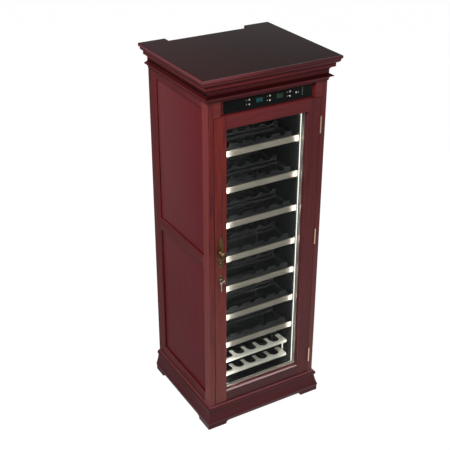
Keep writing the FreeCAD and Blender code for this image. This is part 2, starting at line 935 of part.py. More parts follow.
def make_lock_bolt():
    """Sliding bolt; the key's crank pin runs in the upright slot in its tail."""
    bolt_y = front_y + bolt_setback
    pin_x = key_x + key_pin_offset
    tail_right = bolt_tail_right
    half = bolt_height / 2
    bar = block(door_left + bolt_inset, tail_right, bolt_y, bolt_y + bolt_thickness, key_z - half, key_z + half)
    tail = block(
        tail_right - bolt_tail_length, tail_right, bolt_y, bolt_y + bolt_thickness,
        key_z, key_z + half + bolt_tail_rise,
    )
    slot_half = key_pin_radius + bolt_slot_clearance
    slot = block(
        pin_x - slot_half, pin_x + slot_half, bolt_y - cut_overrun, bolt_y + bolt_thickness + cut_overrun,
        key_z + key_pin_offset - slot_half, key_z + key_crank_radius + slot_half,
    )
    return bar.fuse(tail).removeSplitter().cut(slot)


def make_lock_key():
    """Key in the lock: ring bow, round shank, and the crank whose pin drives the bolt."""
    bow_y = front_y - key_reach + key_bow_radius
    web_back_y = front_y + bolt_setback - key_crank_clearance
    web_front_y = web_back_y - key_crank_web
    shank_start_y = bow_y + (key_bow_hole_radius + key_bow_radius) / 2
    shank = rod(key_shank_radius, V(key_x, shank_start_y, key_z), V(0, web_back_y - shank_start_y, 0))
    half = key_bow_thickness / 2
    bow = rod(key_bow_radius, V(key_x - half, bow_y, key_z), V(key_bow_thickness, 0, 0))
    eye_start = V(key_x - half - cut_overrun, bow_y, key_z)
    eye = rod(key_bow_hole_radius, eye_start, V(key_bow_thickness + 2 * cut_overrun, 0, 0))
    web_radius = key_crank_radius + key_pin_radius + key_crank_rim
    web = rod(web_radius, V(key_x, web_front_y, key_z), V(0, key_crank_web, 0))
    pin_start = V(key_x + key_pin_offset, web_front_y, key_z + key_pin_offset)
    pin = rod(key_pin_radius, pin_start, V(0, key_crank_web + key_crank_clearance + bolt_thickness, 0))
    return shank.fuse([bow.cut(eye), web, pin]).removeSplitter()


def make_spare_key():
    """Second key hanging on a wire ring round the shank of the first."""
    ring_y = front_y - ring_standoff
    ring_z = key_z + key_shank_radius + ring_clearance - (ring_radius - ring_wire_radius)
    ring = Part.makeTorus(ring_radius, ring_wire_radius, V(key_x, ring_y, ring_z), V(0, 1, 0))
    half = spare_thickness / 2
    bow_z = ring_z - ring_radius - spare_bow_radius / 2
    bow = rod(spare_bow_radius, V(key_x, ring_y - half, bow_z), V(0, spare_thickness, 0))
    blade_high = bow_z - spare_bow_radius / 2
    blade_low = bow_z - spare_bow_radius - spare_blade_length
    half_blade = spare_blade_width / 2
    blade = block(key_x - half_blade, key_x + half_blade, ring_y - half, ring_y + half, blade_low, blade_high)
    bit = block(
        key_x, key_x + spare_blade_width, ring_y - half, ring_y + half, blade_low, blade_low + spare_blade_width,
    )
    clear_inside = rod(ring_radius - ring_wire_radius, V(key_x, ring_y - half, ring_z), V(0, spare_thickness, 0))
    return bow.cut(clear_inside).fuse([ring, blade, bit]).removeSplitter()


def make_strike_plate():
    """Plate on the latch post with the slot for the bolt."""
    bolt_y = front_y + bolt_setback
    middle_y = bolt_y + bolt_thickness / 2
    half_height = strike_height / 2
    half_depth = strike_depth / 2
    plate = block(
        -post_inner, -post_inner + strike_thickness, middle_y - half_depth, middle_y + half_depth,
        key_z - half_height, key_z + half_height,
    )
    slot_half = bolt_height / 2 + strike_clearance
    slot = block(
        -post_inner - cut_overrun, -post_inner + strike_thickness + cut_overrun,
        bolt_y - strike_clearance, bolt_y + bolt_thickness + strike_clearance,
        key_z - slot_half, key_z + slot_half,
    )
    return plate.cut(slot)


def knuckle_spans(middle_z):
    """Low and high end of each barrel knuckle of one hinge, from the bottom."""
    pitch = hinge_height / knuckle_count
    low = middle_z - hinge_height / 2
    spans = []
    for index in range(knuckle_count):
        start = low + index * pitch
        end = start + pitch
        spans.append((start + knuckle_gap / 2, end - knuckle_gap / 2))
    return spans


def make_hinge_leaf(middle_z, x_low, x_high, first):
    """One leaf: a plate in the door gap with every second knuckle of the barrel."""
    half = hinge_height / 2
    leaf = block(x_low, x_high, hinge_y, front_y + leaf_depth, middle_z - half, middle_z + half)
    spans = knuckle_spans(middle_z)
    for index, (low, high) in enumerate(spans):
        if index % 2 == first:
            leaf = leaf.fuse(rod(barrel_radius, V(hinge_x, hinge_y, low), V(0, 0, high - low)))
        else:
            start = V(hinge_x, hinge_y, low - knuckle_gap)
            room = rod(barrel_radius + barrel_clearance, start, V(0, 0, high - low + 2 * knuckle_gap))
            leaf = leaf.cut(room)
    bore_start = V(hinge_x, hinge_y, middle_z - half - cut_overrun)
    bore = rod(pin_radius + pin_clearance, bore_start, V(0, 0, hinge_height + 2 * cut_overrun))
    return leaf.cut(bore).removeSplitter()


def make_hinge_pin(middle_z):
    """Pin with a round cap on each end of the barrel."""
    half = hinge_height / 2
    low = middle_z - half - pin_cap_height
    pin = rod(pin_radius, V(hinge_x, hinge_y, low), V(0, 0, hinge_height + 2 * pin_cap_height))
    caps = []
    for end_z in (low, middle_z + half):
        caps.append(rod(barrel_radius, V(hinge_x, hinge_y, end_z), V(0, 0, pin_cap_height)))
    return pin.fuse(caps).removeSplitter()


def make_liner_right_wall():
    return block(cavity_half, side_inner, cavity_front_y, back_panel_y, carcass_low, ceiling_high)


def make_liner_rear_wall():
    return block(-cavity_half, cavity_half, cavity_rear_y, back_panel_y, step_height, cavity_high)


def make_liner_ceiling():
    return block(-cavity_half, cavity_half, cavity_front_y, back_panel_y, cavity_high, ceiling_high)


def make_liner_floor():
    """Floor of the cold box, stepped up at the rear over the compressor bay."""
    profile = [
        V(-cavity_half, cavity_front_y, carcass_low),
        V(-cavity_half, bay_front_y, carcass_low),
        V(-cavity_half, bay_front_y, bay_high),
        V(-cavity_half, back_panel_y, bay_high),
        V(-cavity_half, back_panel_y, step_height),
        V(-cavity_half, step_front_y, step_height),
        V(-cavity_half, step_front_y, cavity_low),
        V(-cavity_half, cavity_front_y, cavity_low),
    ]
    return polygon_prism(profile, V(2 * cavity_half, 0, 0))


def make_liner_frame():
    """Pale frame round the mouth of the cold box; the gasket closes on it."""
    plate = block(-side_inner, side_inner, post_back_y, cavity_front_y, carcass_low, ceiling_high)
    mouth = block(
        -cavity_half, cavity_half, post_back_y - cut_overrun, cavity_front_y + cut_overrun, cavity_low, cavity_high,
    )
    return plate.cut(mouth)


def make_light_strips():
    right = block(
        cavity_half - light_strip_width, cavity_half, cavity_front_y, cavity_front_y + light_strip_depth,
        cavity_low, cavity_high,
    )
    return Part.makeCompound([mirrored(right), right])


def make_back_panel():
    return block(-side_inner, side_inner, back_panel_y, back_panel_rear_y, bay_high, top_low)


lowest_shelf_top = step_height + lowest_shelf_clearance + runner_height + shelf_front_height
shelf_span = cavity_high - lowest_shelf_top
first_shelf_top = cavity_high - first_shelf_share * shelf_span
upper_shelf_pitch = upper_pitch_share * shelf_span
lowest_upper_top = first_shelf_top - (upper_shelf_count - 1) * upper_shelf_pitch
lower_shelf_pitch = (lowest_upper_top - lowest_shelf_top) / lower_shelf_count
shelf_tops = [first_shelf_top - index * upper_shelf_pitch for index in range(upper_shelf_count)]
shelf_tops += [lowest_upper_top - (index + 1) * lower_shelf_pitch for index in range(lower_shelf_count)]
shelf_front_y = cavity_front_y + light_strip_depth + light_clearance
shelf_rear_y = cavity_rear_y - shelf_rear_gap
shelf_half = cavity_half - shelf_side_gap
cradle_places = [share * (shelf_rear_y - shelf_front_y) for share in cradle_place_shares]
bottle_pitch = bottle_pitch_share * 2 * (shelf_half - shelf_rail)
bottle_radius = bottle_pitch / 2
bottle_columns = [(index - (bottle_count - 1) / 2) * bottle_pitch for index in range(bottle_count)]


def make_cradle(top, place, radius):
    """Stamped bar across the shelf, scalloped for the bottles that lie on it."""
    half = shelf_half - shelf_rail
    low = top - shelf_front_height
    bar_y = shelf_front_y + place
    axis_z = top + neck_axis_lift + bottle_slope_share * (place - cradle_places[0])
    scallop_low = axis_z - radius
    rise = min(cradle_rise, radius)
    bar = block(-half, half, bar_y, bar_y + cradle_thickness, low, scallop_low + rise)
    through = V(0, cradle_thickness + 2 * cut_overrun, 0)
    for x in bottle_columns:
        bar = bar.cut(rod(radius, V(x, bar_y - cut_overrun, axis_z), through))
    window_low = low + shelf_rail
    window_high = scallop_low - cradle_strip
    if window_high - window_low > cradle_strip:
        window = block(
            -half + shelf_rail, half - shelf_rail, bar_y - cut_overrun, bar_y + cradle_thickness + cut_overrun,
            window_low, window_high,
        )
        bar = bar.cut(window)
    return bar


def make_shelf(top):
    """Shelf with a folded steel front, two side rails and three bottle cradles."""
    low = top - shelf_front_height
    front = block(-shelf_half, shelf_half, shelf_front_y, shelf_front_y + shelf_sheet, low, top)
    fold_rear_y = shelf_front_y + shelf_front_return
    fold = block(-shelf_half, shelf_half, shelf_front_y, fold_rear_y, top - shelf_sheet, top)
    pieces = [fold]
    for x_low in (-shelf_half, shelf_half - shelf_rail):
        pieces.append(block(x_low, x_low + shelf_rail, shelf_front_y, shelf_rear_y, low, low + shelf_rail))
    pieces.append(make_cradle(top, cradle_places[0], neck_radius))
    for place in cradle_places[1:]:
        pieces.append(make_cradle(top, place, bottle_radius))
    return front.fuse(pieces).removeSplitter()


def make_shelf_runners():
    """Ledges on the side walls that carry the shelf rails."""
    runners = []
    for top in shelf_tops:
        seat = top - shelf_front_height
        right = block(
            cavity_half - runner_width, cavity_half, shelf_front_y, shelf_rear_y, seat - runner_height, seat,
        )
        runners.append(right)
        runners.append(mirrored(right))
    return Part.makeCompound(runners)


rack_front_y = cavity_front_y + rack_setback
rack_half = cavity_half - rack_side_gap
rack_room = lowest_shelf_top - shelf_front_height - cavity_low
rack_first_lip = cavity_low + rack_first_lip_share * rack_room
rack_tier_rise = rack_tier_share * rack_room
rack_slot_pitch = rack_slot_pitch_share * 2 * rack_half
rack_cradle_radius = rack_cradle_share * rack_slot_pitch
rack_columns = [(index - (bottle_count - 1) / 2) * rack_slot_pitch for index in range(bottle_count)]


def make_rack_tier(lip_top):
    """Neck comb that falls to the rear, with a turned-down lip, two rails and a scalloped rear bar."""
    comb = block(-rack_half, rack_half, 0, rack_comb_length, -rack_sheet, 0)
    slot_radius = rack_slot_width / 2
    slot_start = rack_slot_margin + slot_radius
    for x in rack_columns:
        slot_end = V(x, slot_start, -rack_sheet - cut_overrun)
        comb = comb.cut(rod(slot_radius, slot_end, V(0, 0, rack_sheet + 2 * cut_overrun)))
        comb = comb.cut(block(
            x - slot_radius, x + slot_radius, slot_start, rack_comb_length + cut_overrun,
            -rack_sheet - cut_overrun, cut_overrun,
        ))
    rail_low = -rack_sheet - rack_rail_height
    pieces = []
    for x_low in (-rack_half, rack_half - rack_rail_width):
        pieces.append(block(x_low, x_low + rack_rail_width, 0, rack_depth, rail_low, -rack_sheet))
    bar = block(-rack_half, rack_half, rack_depth - rack_sheet, rack_depth, rail_low, rack_cradle_height)
    for x in rack_columns:
        start = V(x, rack_depth - rack_sheet - cut_overrun, rack_cradle_radius)
        bar = bar.cut(rod(rack_cradle_radius, start, V(0, rack_sheet + 2 * cut_overrun, 0)))
    pieces.append(bar)
    tier = comb.fuse(pieces)
    tier.rotate(V(0, 0, 0), V(1, 0, 0), -rack_fall)
    tier.translate(V(0, rack_front_y, lip_top))
    lip = block(
        -rack_half, rack_half, rack_front_y, rack_front_y + rack_sheet, lip_top - rack_lip_height, lip_top,
    )
    return tier.fuse(lip)


def make_neck_rack():
    """Lower tier on feet, upper tier on posts over it, and rear legs through both."""
    slope = math.tan(math.radians(rack_fall))
    upper_lip = rack_first_lip + rack_tier_rise
    post_low = rack_first_lip - slope * rack_post_place - rack_sheet
    legs = (
        (rack_post_place, post_low, upper_lip),
        (rack_foot_place, cavity_low, rack_first_lip),
        (rack_rear_leg_place, cavity_low, upper_lip),
    )
    pieces = [make_rack_tier(upper_lip)]
    for place, leg_low, lip_top in legs:
        leg_y = rack_front_y + place
        leg_high = lip_top - slope * place - rack_sheet
        leg = block(rack_half - rack_leg, rack_half, leg_y, leg_y + rack_leg, leg_low, leg_high)
        pieces.append(leg)
        pieces.append(mirrored(leg))
    return make_rack_tier(rack_first_lip).fuse(pieces).removeSplitter()


fan_z = cavity_high - fan_housing_drop - fan_housing_height / 2
motor_front_y = cavity_rear_y - motor_length
fan_hub_rear_y = motor_front_y - fan_hub_gap
fan_front_y = fan_hub_rear_y - fan_hub_length - fan_front_clearance - fan_housing_wall


def make_fan_housing():
    """Duct cover on the rear wall, with a guarded throat and the motor on two arms."""
    half = fan_housing_width / 2
    low = fan_z - fan_housing_height / 2
    high = fan_z + fan_housing_height / 2
    wall = fan_housing_wall
    shell = block(-half, half, fan_front_y, cavity_rear_y, low, high)
    hollow = block(
        -half + wall, half - wall, fan_front_y + wall, cavity_rear_y + cut_overrun, low + wall, high - wall,
    )
    throat = rod(fan_throat_radius, V(0, fan_front_y - cut_overrun, fan_z), V(0, wall + 2 * cut_overrun, 0))
    cover = shell.cut(hollow).cut(throat)
    pieces = []
    pitch = 2 * fan_throat_radius / (fan_guard_count + 1)
    bar_half = fan_guard_bar / 2
    for index in range(fan_guard_count):
        bar_z = fan_z - fan_throat_radius + (index + 1) * pitch
        pieces.append(block(
            -fan_throat_radius, fan_throat_radius, fan_front_y, fan_front_y + wall, bar_z - bar_half, bar_z + bar_half,
        ))
    pieces.append(rod(motor_radius, V(0, motor_front_y, fan_z), V(0, motor_length, 0)))
    arm_half = motor_arm_width / 2
    arm_front_y = cavity_rear_y - wall
    pieces.append(block(-half, half, arm_front_y, cavity_rear_y, fan_z - arm_half, fan_z + arm_half))
    pieces.append(block(-arm_half, arm_half, arm_front_y, cavity_rear_y, low, high))
    shaft_start = V(0, motor_front_y - fan_shaft_length, fan_z)
    pieces.append(rod(fan_shaft_radius, shaft_start, V(0, fan_shaft_length, 0)))
    return cover.fuse(pieces).removeSplitter()


def make_fan_rotor():
    """Hub on the motor shaft with pitched blades."""
    hub_front_y = fan_hub_rear_y - fan_hub_length
    hub = rod(fan_hub_radius, V(0, hub_front_y, fan_z), V(0, fan_hub_length, 0))
    middle_y = hub_front_y + fan_hub_length / 2
    chord_half = fan_blade_chord / 2
    thick_half = fan_blade_thickness / 2
    root = fan_hub_radius - fan_blade_thickness
    blades = []
    for index in range(fan_blade_count):
        blade = block(root, fan_blade_radius, -chord_half, chord_half, -thick_half, thick_half)
        blade.rotate(V(0, 0, 0), V(1, 0, 0), fan_blade_pitch_angle)
        blade.rotate(V(0, 0, 0), V(0, 1, 0), 360.0 * index / fan_blade_count)
        blade.translate(V(0, middle_y, fan_z))
        blades.append(blade)
    rotor = hub.fuse(blades)
    bore_start = V(0, hub_front_y - cut_overrun, fan_z)
    bore = rod(fan_shaft_radius + fan_shaft_clearance, bore_start, V(0, fan_hub_length + 2 * cut_overrun, 0))
    return rotor.cut(bore).removeSplitter()


compressor_x = compressor_side_share * cavity_half
compressor_y = bay_front_y + compressor_clearance + compressor_radius


def make_compressor():
    """Hermetic shell on a foot plate with four rubber feet."""
    plate_low = carcass_low + compressor_foot_height
    plate_high = plate_low + compressor_plate_thickness
    shell_high = bay_high - compressor_headroom
    compressor_shoulder = compressor_shoulder_share * (shell_high - plate_high)
    shoulder_z = shell_high - compressor_shoulder
    dome_radius, dome_rise = cap_middle(compressor_radius, compressor_shoulder)
    dome_mid = V(compressor_x + dome_radius, compressor_y, shoulder_z + dome_rise)
    face = outline(V(compressor_x, compressor_y, plate_high), [
        (V(compressor_x + compressor_radius, compressor_y, plate_high),),
        (V(compressor_x + compressor_radius, compressor_y, shoulder_z),),
        (dome_mid, V(compressor_x, compressor_y, shell_high)),
    ])
    shell = face.revolve(V(compressor_x, compressor_y, 0), V(0, 0, 1), 360)
    half_width = compressor_plate_width / 2
    half_depth = compressor_plate_depth / 2
    plate = block(
        compressor_x - half_width, compressor_x + half_width, compressor_y - half_depth, compressor_y + half_depth,
        plate_low, plate_high,
    )
    feet = []
    for side in (-1, 1):
        for end in (-1, 1):
            foot_x = compressor_x + side * (half_width - compressor_foot_inset)
            foot_y = compressor_y + end * (half_depth - compressor_foot_inset)
            start = V(foot_x, foot_y, carcass_low)
            feet.append(rod(compressor_foot_radius, start, V(0, 0, compressor_foot_height)))
    return plate.fuse(feet + [shell]).removeSplitter()


def make_condenser():
    """Serpentine tube on two straps behind the back panel."""
    tube_y = back_panel_rear_y + condenser_stand
    condenser_low = bay_high + condenser_floor_gap
    condenser_high = top_low - condenser_top_gap
    pass_pitch = (condenser_high - condenser_low) / (condenser_pass_count - 1)
    bend = pass_pitch / 2
    run_half = side_inner - condenser_side_margin - bend
    edges = []
    for index in range(condenser_pass_count):
        side = 1 if index % 2 == 0 else -1
        z = condenser_low + index * pass_pitch
        edges.append(Part.LineSegment(V(-side * run_half, tube_y, z), V(side * run_half, tube_y, z)).toShape())
        if index < condenser_pass_count - 1:
            turn_mid = V(side * (run_half + bend), tube_y, z + bend)
            turn_end = V(side * run_half, tube_y, z + pass_pitch)
            edges.append(Part.Arc(V(side * run_half, tube_y, z), turn_mid, turn_end).toShape())
    path = Part.Wire(edges)
    ring = Part.Wire(Part.makeCircle(condenser_tube_radius, V(-run_half, tube_y, condenser_low), V(1, 0, 0)))
    sweep = Part.BRepOffsetAPI.MakePipeShell(path)
    sweep.add(ring)
    sweep.build()
    sweep.makeSolid()
    tube = sweep.shape()
    strap_half = condenser_strap_width / 2
    high = condenser_high + condenser_strap_overlap
    strap_place = condenser_strap_share * run_half
    straps = []
    for x in (-strap_place, strap_place):
        straps.append(block(
            x - strap_half, x + strap_half, back_panel_rear_y, tube_y, condenser_low - condenser_strap_overlap, high,
        ))
    return tube.fuse(straps).removeSplitter()


def build():
    """Every node of the cabinet, by name."""
    right_panels = make_right_panels()
    right_frame = make_right_side_frame(right_panels)
    liner_right = make_liner_right_wall()
    nodes = {
        "top_board": make_top_board(),
        "cornice_moulding": make_cornice(),
        "header_board": make_header(),
        "left_front_post": make_left_post(right_panels),
        "right_front_post": make_right_post(right_panels),
        "left_side_frame": mirrored(right_frame),
        "right_side_frame": right_frame,
        "left_side_panels": mirrored(right_panels),
        "right_side_panels": right_panels,
        "plinth": make_plinth(),
        "bottom_board": make_bottom_board(),
        "back_panel": make_back_panel(),
        "liner_left_wall": mirrored(liner_right),
        "liner_right_wall": liner_right,
        "liner_rear_wall": make_liner_rear_wall(),
        "liner_ceiling": make_liner_ceiling(),
        "liner_floor": make_liner_floor(),
        "liner_front_frame": make_liner_frame(),
        "light_strips": make_light_strips(),
        "shelf_runners": make_shelf_runners(),
        "neck_rack": make_neck_rack(),
        "fan_housing": make_fan_housing(),
        "fan_rotor": make_fan_rotor(),
        "compressor": make_compressor(),
        "condenser": make_condenser(),
        "control_board": make_control_board(),
        "control_fascia": make_fascia(),
        "display_windows": Part.makeCompound(display_blocks(fascia_front_y + display_recess)),
        "door_left_stile": make_door_left_stile(),
        "door_right_stile": make_door_right_stile(),
        "door_top_rail": make_door_rail(sight_high, door_high),
        "door_bottom_rail": make_door_rail(door_low, sight_low),
        "glazing_bead": make_glazing_bead(),
        "glass_unit": make_glass_unit(),
        "door_gasket": make_gasket(),
        "door_knob": make_knob(),
        "knob_back_plate": make_back_plate(),
        "key_escutcheon": make_escutcheon(),
        "lock_case": make_lock_case(),
        "lock_bolt": make_lock_bolt(),
        "lock_key": make_lock_key(),
        "spare_key": make_spare_key(),
        "strike_plate": make_strike_plate(),
    }
    frame_leaf_x = post_inner - leaf_thickness
    door_leaf_x = door_right + leaf_thickness
    nodes["hinge_frame_leaves"] = Part.makeCompound(
        [make_hinge_leaf(z, frame_leaf_x, post_inner, 0) for z in hinge_heights])
    nodes["hinge_door_leaves"] = Part.makeCompound(
        [make_hinge_leaf(z, door_right, door_leaf_x, 1) for z in hinge_heights])
    nodes["hinge_pins"] = Part.makeCompound([make_hinge_pin(z) for z in hinge_heights])
    for index, top in enumerate(shelf_tops):
        nodes["shelf_%d" % (index + 1)] = make_shelf(top)
    for index, (x, z) in enumerate(button_places):
        name = "power_button" if index == len(button_places) - 1 else "button_%d" % (index + 1)
        nodes[name] = make_button(x, z)
    return nodes


def main():
    os.makedirs("parts", exist_ok=True)
    for name, shape in build().items():
        shape.exportStep(os.path.join("parts", name + ".step"))
        print(name, len(shape.Solids), "solids, valid" if shape.isValid() else "solids, NOT VALID")
    print("bolt travel", round(bolt_travel, 3), "hinge axis", round(hinge_x, 3), round(hinge_y, 3))


main()
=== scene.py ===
"""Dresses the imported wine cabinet: materials, glass, displays, fittings and a plain studio stage."""

import math
from collections import namedtuple

import bmesh
import bpy
from bpy.props import FloatProperty, FloatVectorProperty, IntProperty, PointerProperty
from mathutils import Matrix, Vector


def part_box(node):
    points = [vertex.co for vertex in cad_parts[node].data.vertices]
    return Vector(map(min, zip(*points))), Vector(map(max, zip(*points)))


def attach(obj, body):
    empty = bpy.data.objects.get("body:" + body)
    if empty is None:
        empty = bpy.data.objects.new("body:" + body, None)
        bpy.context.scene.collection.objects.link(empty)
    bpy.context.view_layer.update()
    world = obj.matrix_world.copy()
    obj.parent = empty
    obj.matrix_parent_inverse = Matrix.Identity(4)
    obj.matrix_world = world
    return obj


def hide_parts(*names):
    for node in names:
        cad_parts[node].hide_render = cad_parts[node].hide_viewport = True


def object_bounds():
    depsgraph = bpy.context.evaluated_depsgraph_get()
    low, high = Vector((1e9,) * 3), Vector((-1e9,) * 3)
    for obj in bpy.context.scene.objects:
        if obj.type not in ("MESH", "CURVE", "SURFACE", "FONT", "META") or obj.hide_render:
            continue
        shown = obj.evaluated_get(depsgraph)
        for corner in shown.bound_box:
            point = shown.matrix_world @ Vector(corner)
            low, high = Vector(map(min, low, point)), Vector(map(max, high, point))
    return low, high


bl_info = {
    "name": "Wine cabinet dresser",
    "version": (1, 0, 0),
    "blender": (4, 5, 0),
    "location": "3D View > Sidebar > Wine cabinet",
    "description": "Builds the finishes, glass, displays and fittings of a panelled wine cabinet",
    "category": "Object",
}

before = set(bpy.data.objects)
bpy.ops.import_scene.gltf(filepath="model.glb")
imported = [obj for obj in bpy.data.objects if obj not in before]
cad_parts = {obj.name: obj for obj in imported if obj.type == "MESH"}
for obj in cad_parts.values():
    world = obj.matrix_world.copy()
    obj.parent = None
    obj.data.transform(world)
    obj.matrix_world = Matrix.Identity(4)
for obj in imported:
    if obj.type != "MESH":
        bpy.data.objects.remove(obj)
cad_low, cad_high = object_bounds()

BUTTONS = ["button_%d" % number for number in range(1, 7)] + ["power_button"]
SHELVES = ["shelf_%d" % number for number in range(1, 8)]


def linear(code):
    """An sRGB hex colour as linear red, green and blue."""
    channels = [int(code[index:index + 2], 16) / 255 for index in (0, 2, 4)]
    return tuple(c / 12.92 if c <= 0.04045 else ((c + 0.055) / 1.055) ** 2.4 for c in channels)


def colour(name, code, note):
    return FloatVectorProperty(name=name, description=note, default=linear(code), subtype="COLOR", min=0, max=1)


def length(name, metres, note):
    return FloatProperty(name=name, description=note, default=metres, unit="LENGTH", min=0, precision=4)


def power(name, watts, note):
    return FloatProperty(name=name, description=note, default=watts, unit="POWER", min=0)


class CabinetColours(bpy.types.PropertyGroup):
    """Colours that a user would change."""

    wood_dark: colour("Wood, dark", "40161a", "Dark bands and pores of the stained mahogany")
    wood_mid: colour("Wood, middle", "5d1f24", "Main colour of the stained mahogany")
    wood_light: colour("Wood, light", "722b2e", "Light ribbons of the stained mahogany")
    # Painted shade: the upper face of the top board is darkened where the light from above would show it brighter
    wood_top_shaded: colour("Wood, top face", "1a0d0c", "Darker stain on the upper face of the top board")
    wood_warm: colour("Wood, warm", "822a1e", "Orange-red of boards with a warmer stain")
    # The side panels' colour at the front, where their painted sheen is least
    wood_deep: colour("Wood, deep", "6e1020", "Crimson veneer at the front of the side panels")
    # Painted reflection: the greyer sheen painted at the upper rear of the side panels
    wood_painted_sheen: colour("Wood, faded", "813f42", "Greyer veneer at the upper rear of the side panels")
    # Painted highlight on the side faces of the front posts and the left stile
    wood_painted_lit_side: colour("Wood, rubbed", "8e3c3c", "Stain rubbed thin on the outer faces of the front posts")
    # Painted highlight: the light laid on the left of the top board and on the cornice's front lip
    wood_painted_bright: colour("Wood, worn", "7c3d45", "Stain worn along the edges of the top board and cornice")
    # Painted reflection: paler, greyer wood low on the posts and the left stile, where the floor's sheen shows
    wood_painted_haze: colour("Wood, bleached", "9c6661", "Stain bleached low on the posts and the left stile")
    # Painted shade: the dark laid in the hollows of the mouldings and on the ledges round the side panels
    painted_shade: colour("Glaze", "170405", "Dark glaze held by the hollows of the mouldings")
    liner: colour("Liner", "080909", "Black plastic of the cold box")
    liner_edge: colour("Liner edge", "7d7973", "Pale plastic round the mouth of the cold box")
    steel: colour("Shelf steel", "776f66", "Brushed steel of the shelves")
    rack: colour("Neck rack", "a39e96", "White powder coat of the neck rack")
    brass_bright: colour("Brass, bright", "9c8452", "Rubbed high spots of the brass")
    brass_dark: colour("Brass, dark", "4d3a26", "Aged hollows of the brass")
    nickel: colour("Key nickel", "a08f88", "Nickel plate of the keys")
    strip: colour("Control strip", "060807", "Black acrylic of the control strip")
    display_left: colour("Left display", "1c5557", "Back light of the left display")
    display_right: colour("Right display", "2f4438", "Back light of the right display")
    light: colour("Cold box light", "fbf6ea", "Light of the strips in the cold box")


class CabinetSizes(bpy.types.PropertyGroup):
    """Sizes that a user would change."""

    ribbon: length("Ribbon width", 0.026, "Width of the light and dark ribbons in the wood")
    streak: length("Streak width", 0.009, "Width of the streaks in the wood")
    pore: length("Pore width", 0.0016, "Width of the drawn pores; real ones are 0.2 mm and would not show")
    tone: length("Tone width", 0.30, "Size of the slow changes of stain")
    pane: length("Pane thickness", 0.004, "Thickness of each glass pane")
    spacer: length("Spacer width", 0.012, "Width of the bar between the panes")
    arris: length("Glass arris", 0.0006, "Width of the ground edge of a pane")
    digit: length("Digit height", 0.014, "Height of the display digits")
    cap: length("Button cap", 0.0045, "Radius of the push buttons' caps")
    screw: length("Screw head", 0.0035, "Radius of the larger screw heads")
    light_strength: FloatProperty(
        name="Cold box light", description="Strength of the light strips", default=1.8, min=0)
    key_watts: power("Key light", 122.0, "Power of the soft light at front left")
    fill_watts: power("Fill light", 4.0, "Power of the soft light at front right")
    strip_watts: power("Strip light", 4.5, "Power that each light strip throws on the shelf fronts")
    rear_watts: power("Rear light", 40.0, "Power of the soft light at rear right")
    lathe_sides: IntProperty(
        name="Turned sides", description="Sides of turned pieces such as buttons", default=40, min=8)


def colours():
    return bpy.context.scene.cabinet_colours


def sizes():
    return bpy.context.scene.cabinet_sizes


def solid(rgb):
    """A colour with full opacity."""
    return (*rgb, 1)


# Nodes and materials

def add(tree, kind, inputs=None, out=0, **settings):
    """Add one shader node; an input takes a value or the socket to link.

    Gives the output that out names, or all of them where out is None.
    """
    node = tree.nodes.new("ShaderNode" + kind)
    for key, value in settings.items():
        setattr(node, key, value)
    for key, value in (inputs or {}).items():
        if isinstance(value, bpy.types.NodeSocket):
            tree.links.new(value, node.inputs[key])
        else:
            node.inputs[key].default_value = value
    return node.outputs if out is None else node.outputs[out]


# Settings of a Mix node that mixes colours, and the output that carries them
RGBA = {"data_type": "RGBA", "out": 2}


def new_material(name):
    """An empty material, its node tree and the object's own coordinates there."""
    material = bpy.data.materials.new(name)
    material.use_nodes = True
    tree = material.node_tree
    tree.nodes.clear()
    return material, tree, add(tree, "TexCoord", out="Object")


def close_material(tree, inputs, shader="BsdfPrincipled"):
    """Give a material its shader."""
    add(tree, "OutputMaterial", {"Surface": add(tree, shader, inputs)}, None)


# Bands of height on the mouldings where shade is painted into the hollows under the overhangs: runs, low, high,
# softness at each (metres), most of the painted shade there
HOLLOWS = {
    "cornice_moulding": [
        ("front", 1.8015, 1.817, 0.0015, 0.007, 0.92), ("sides", 1.8025, 1.818, 0.001, 0.008, 0.66),
        ("sides", 1.809, 1.822, 0.003, 0.007, 0.9), ("all", 1.8615, 1.8645, 0.0012, 0.0012, 0.7)],
    "plinth": [("all", 0.0965, 0.0995, 0.002, 0.002, 0.7)],
}
# A band of painted highlight on the cornice's front lip, in the same columns
PAINTED_HIGHLIGHTS = {"cornice_moulding": [("front", 1.826, 1.842, 0.004, 0.002, 0.5)]}
# A board's finish: the way its grain runs, then its shares of warm stain, figure, gloss and painted shade, which
# darkens chosen boards, mostly low down and on the right where less light falls
Board = namedtuple("Board", "node grain warmth figure gloss shade")
# How far noise is squeezed along the grain, and the two ways that the grain runs in built-up pieces
GRAIN = 0.045
ALONG = {"X": (GRAIN, 1, 1), "Y": (1, GRAIN, 1), "Z": (1, 1, GRAIN)}
BUILT_UP = {"side frame": "YZ", "moulding": "YX"}
PANEL_TONGUE = 0.008
PLINTH_BOARD = 0.0181


def front_part(tree, place):
    """One on the front run of a moulding and nought past its mitres, on the side runs."""
    low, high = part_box("bottom_board")
    axes = add(tree, "SeparateXYZ", {0: place}, None)
    out = add(tree, "Math", {0: axes[0]}, operation="ABSOLUTE")
    past = add(tree, "Math", {0: out, 1: axes[1]}, operation="ADD")
    return add(tree, "Math", {0: past, 1: high.x + low.y}, operation="LESS_THAN")


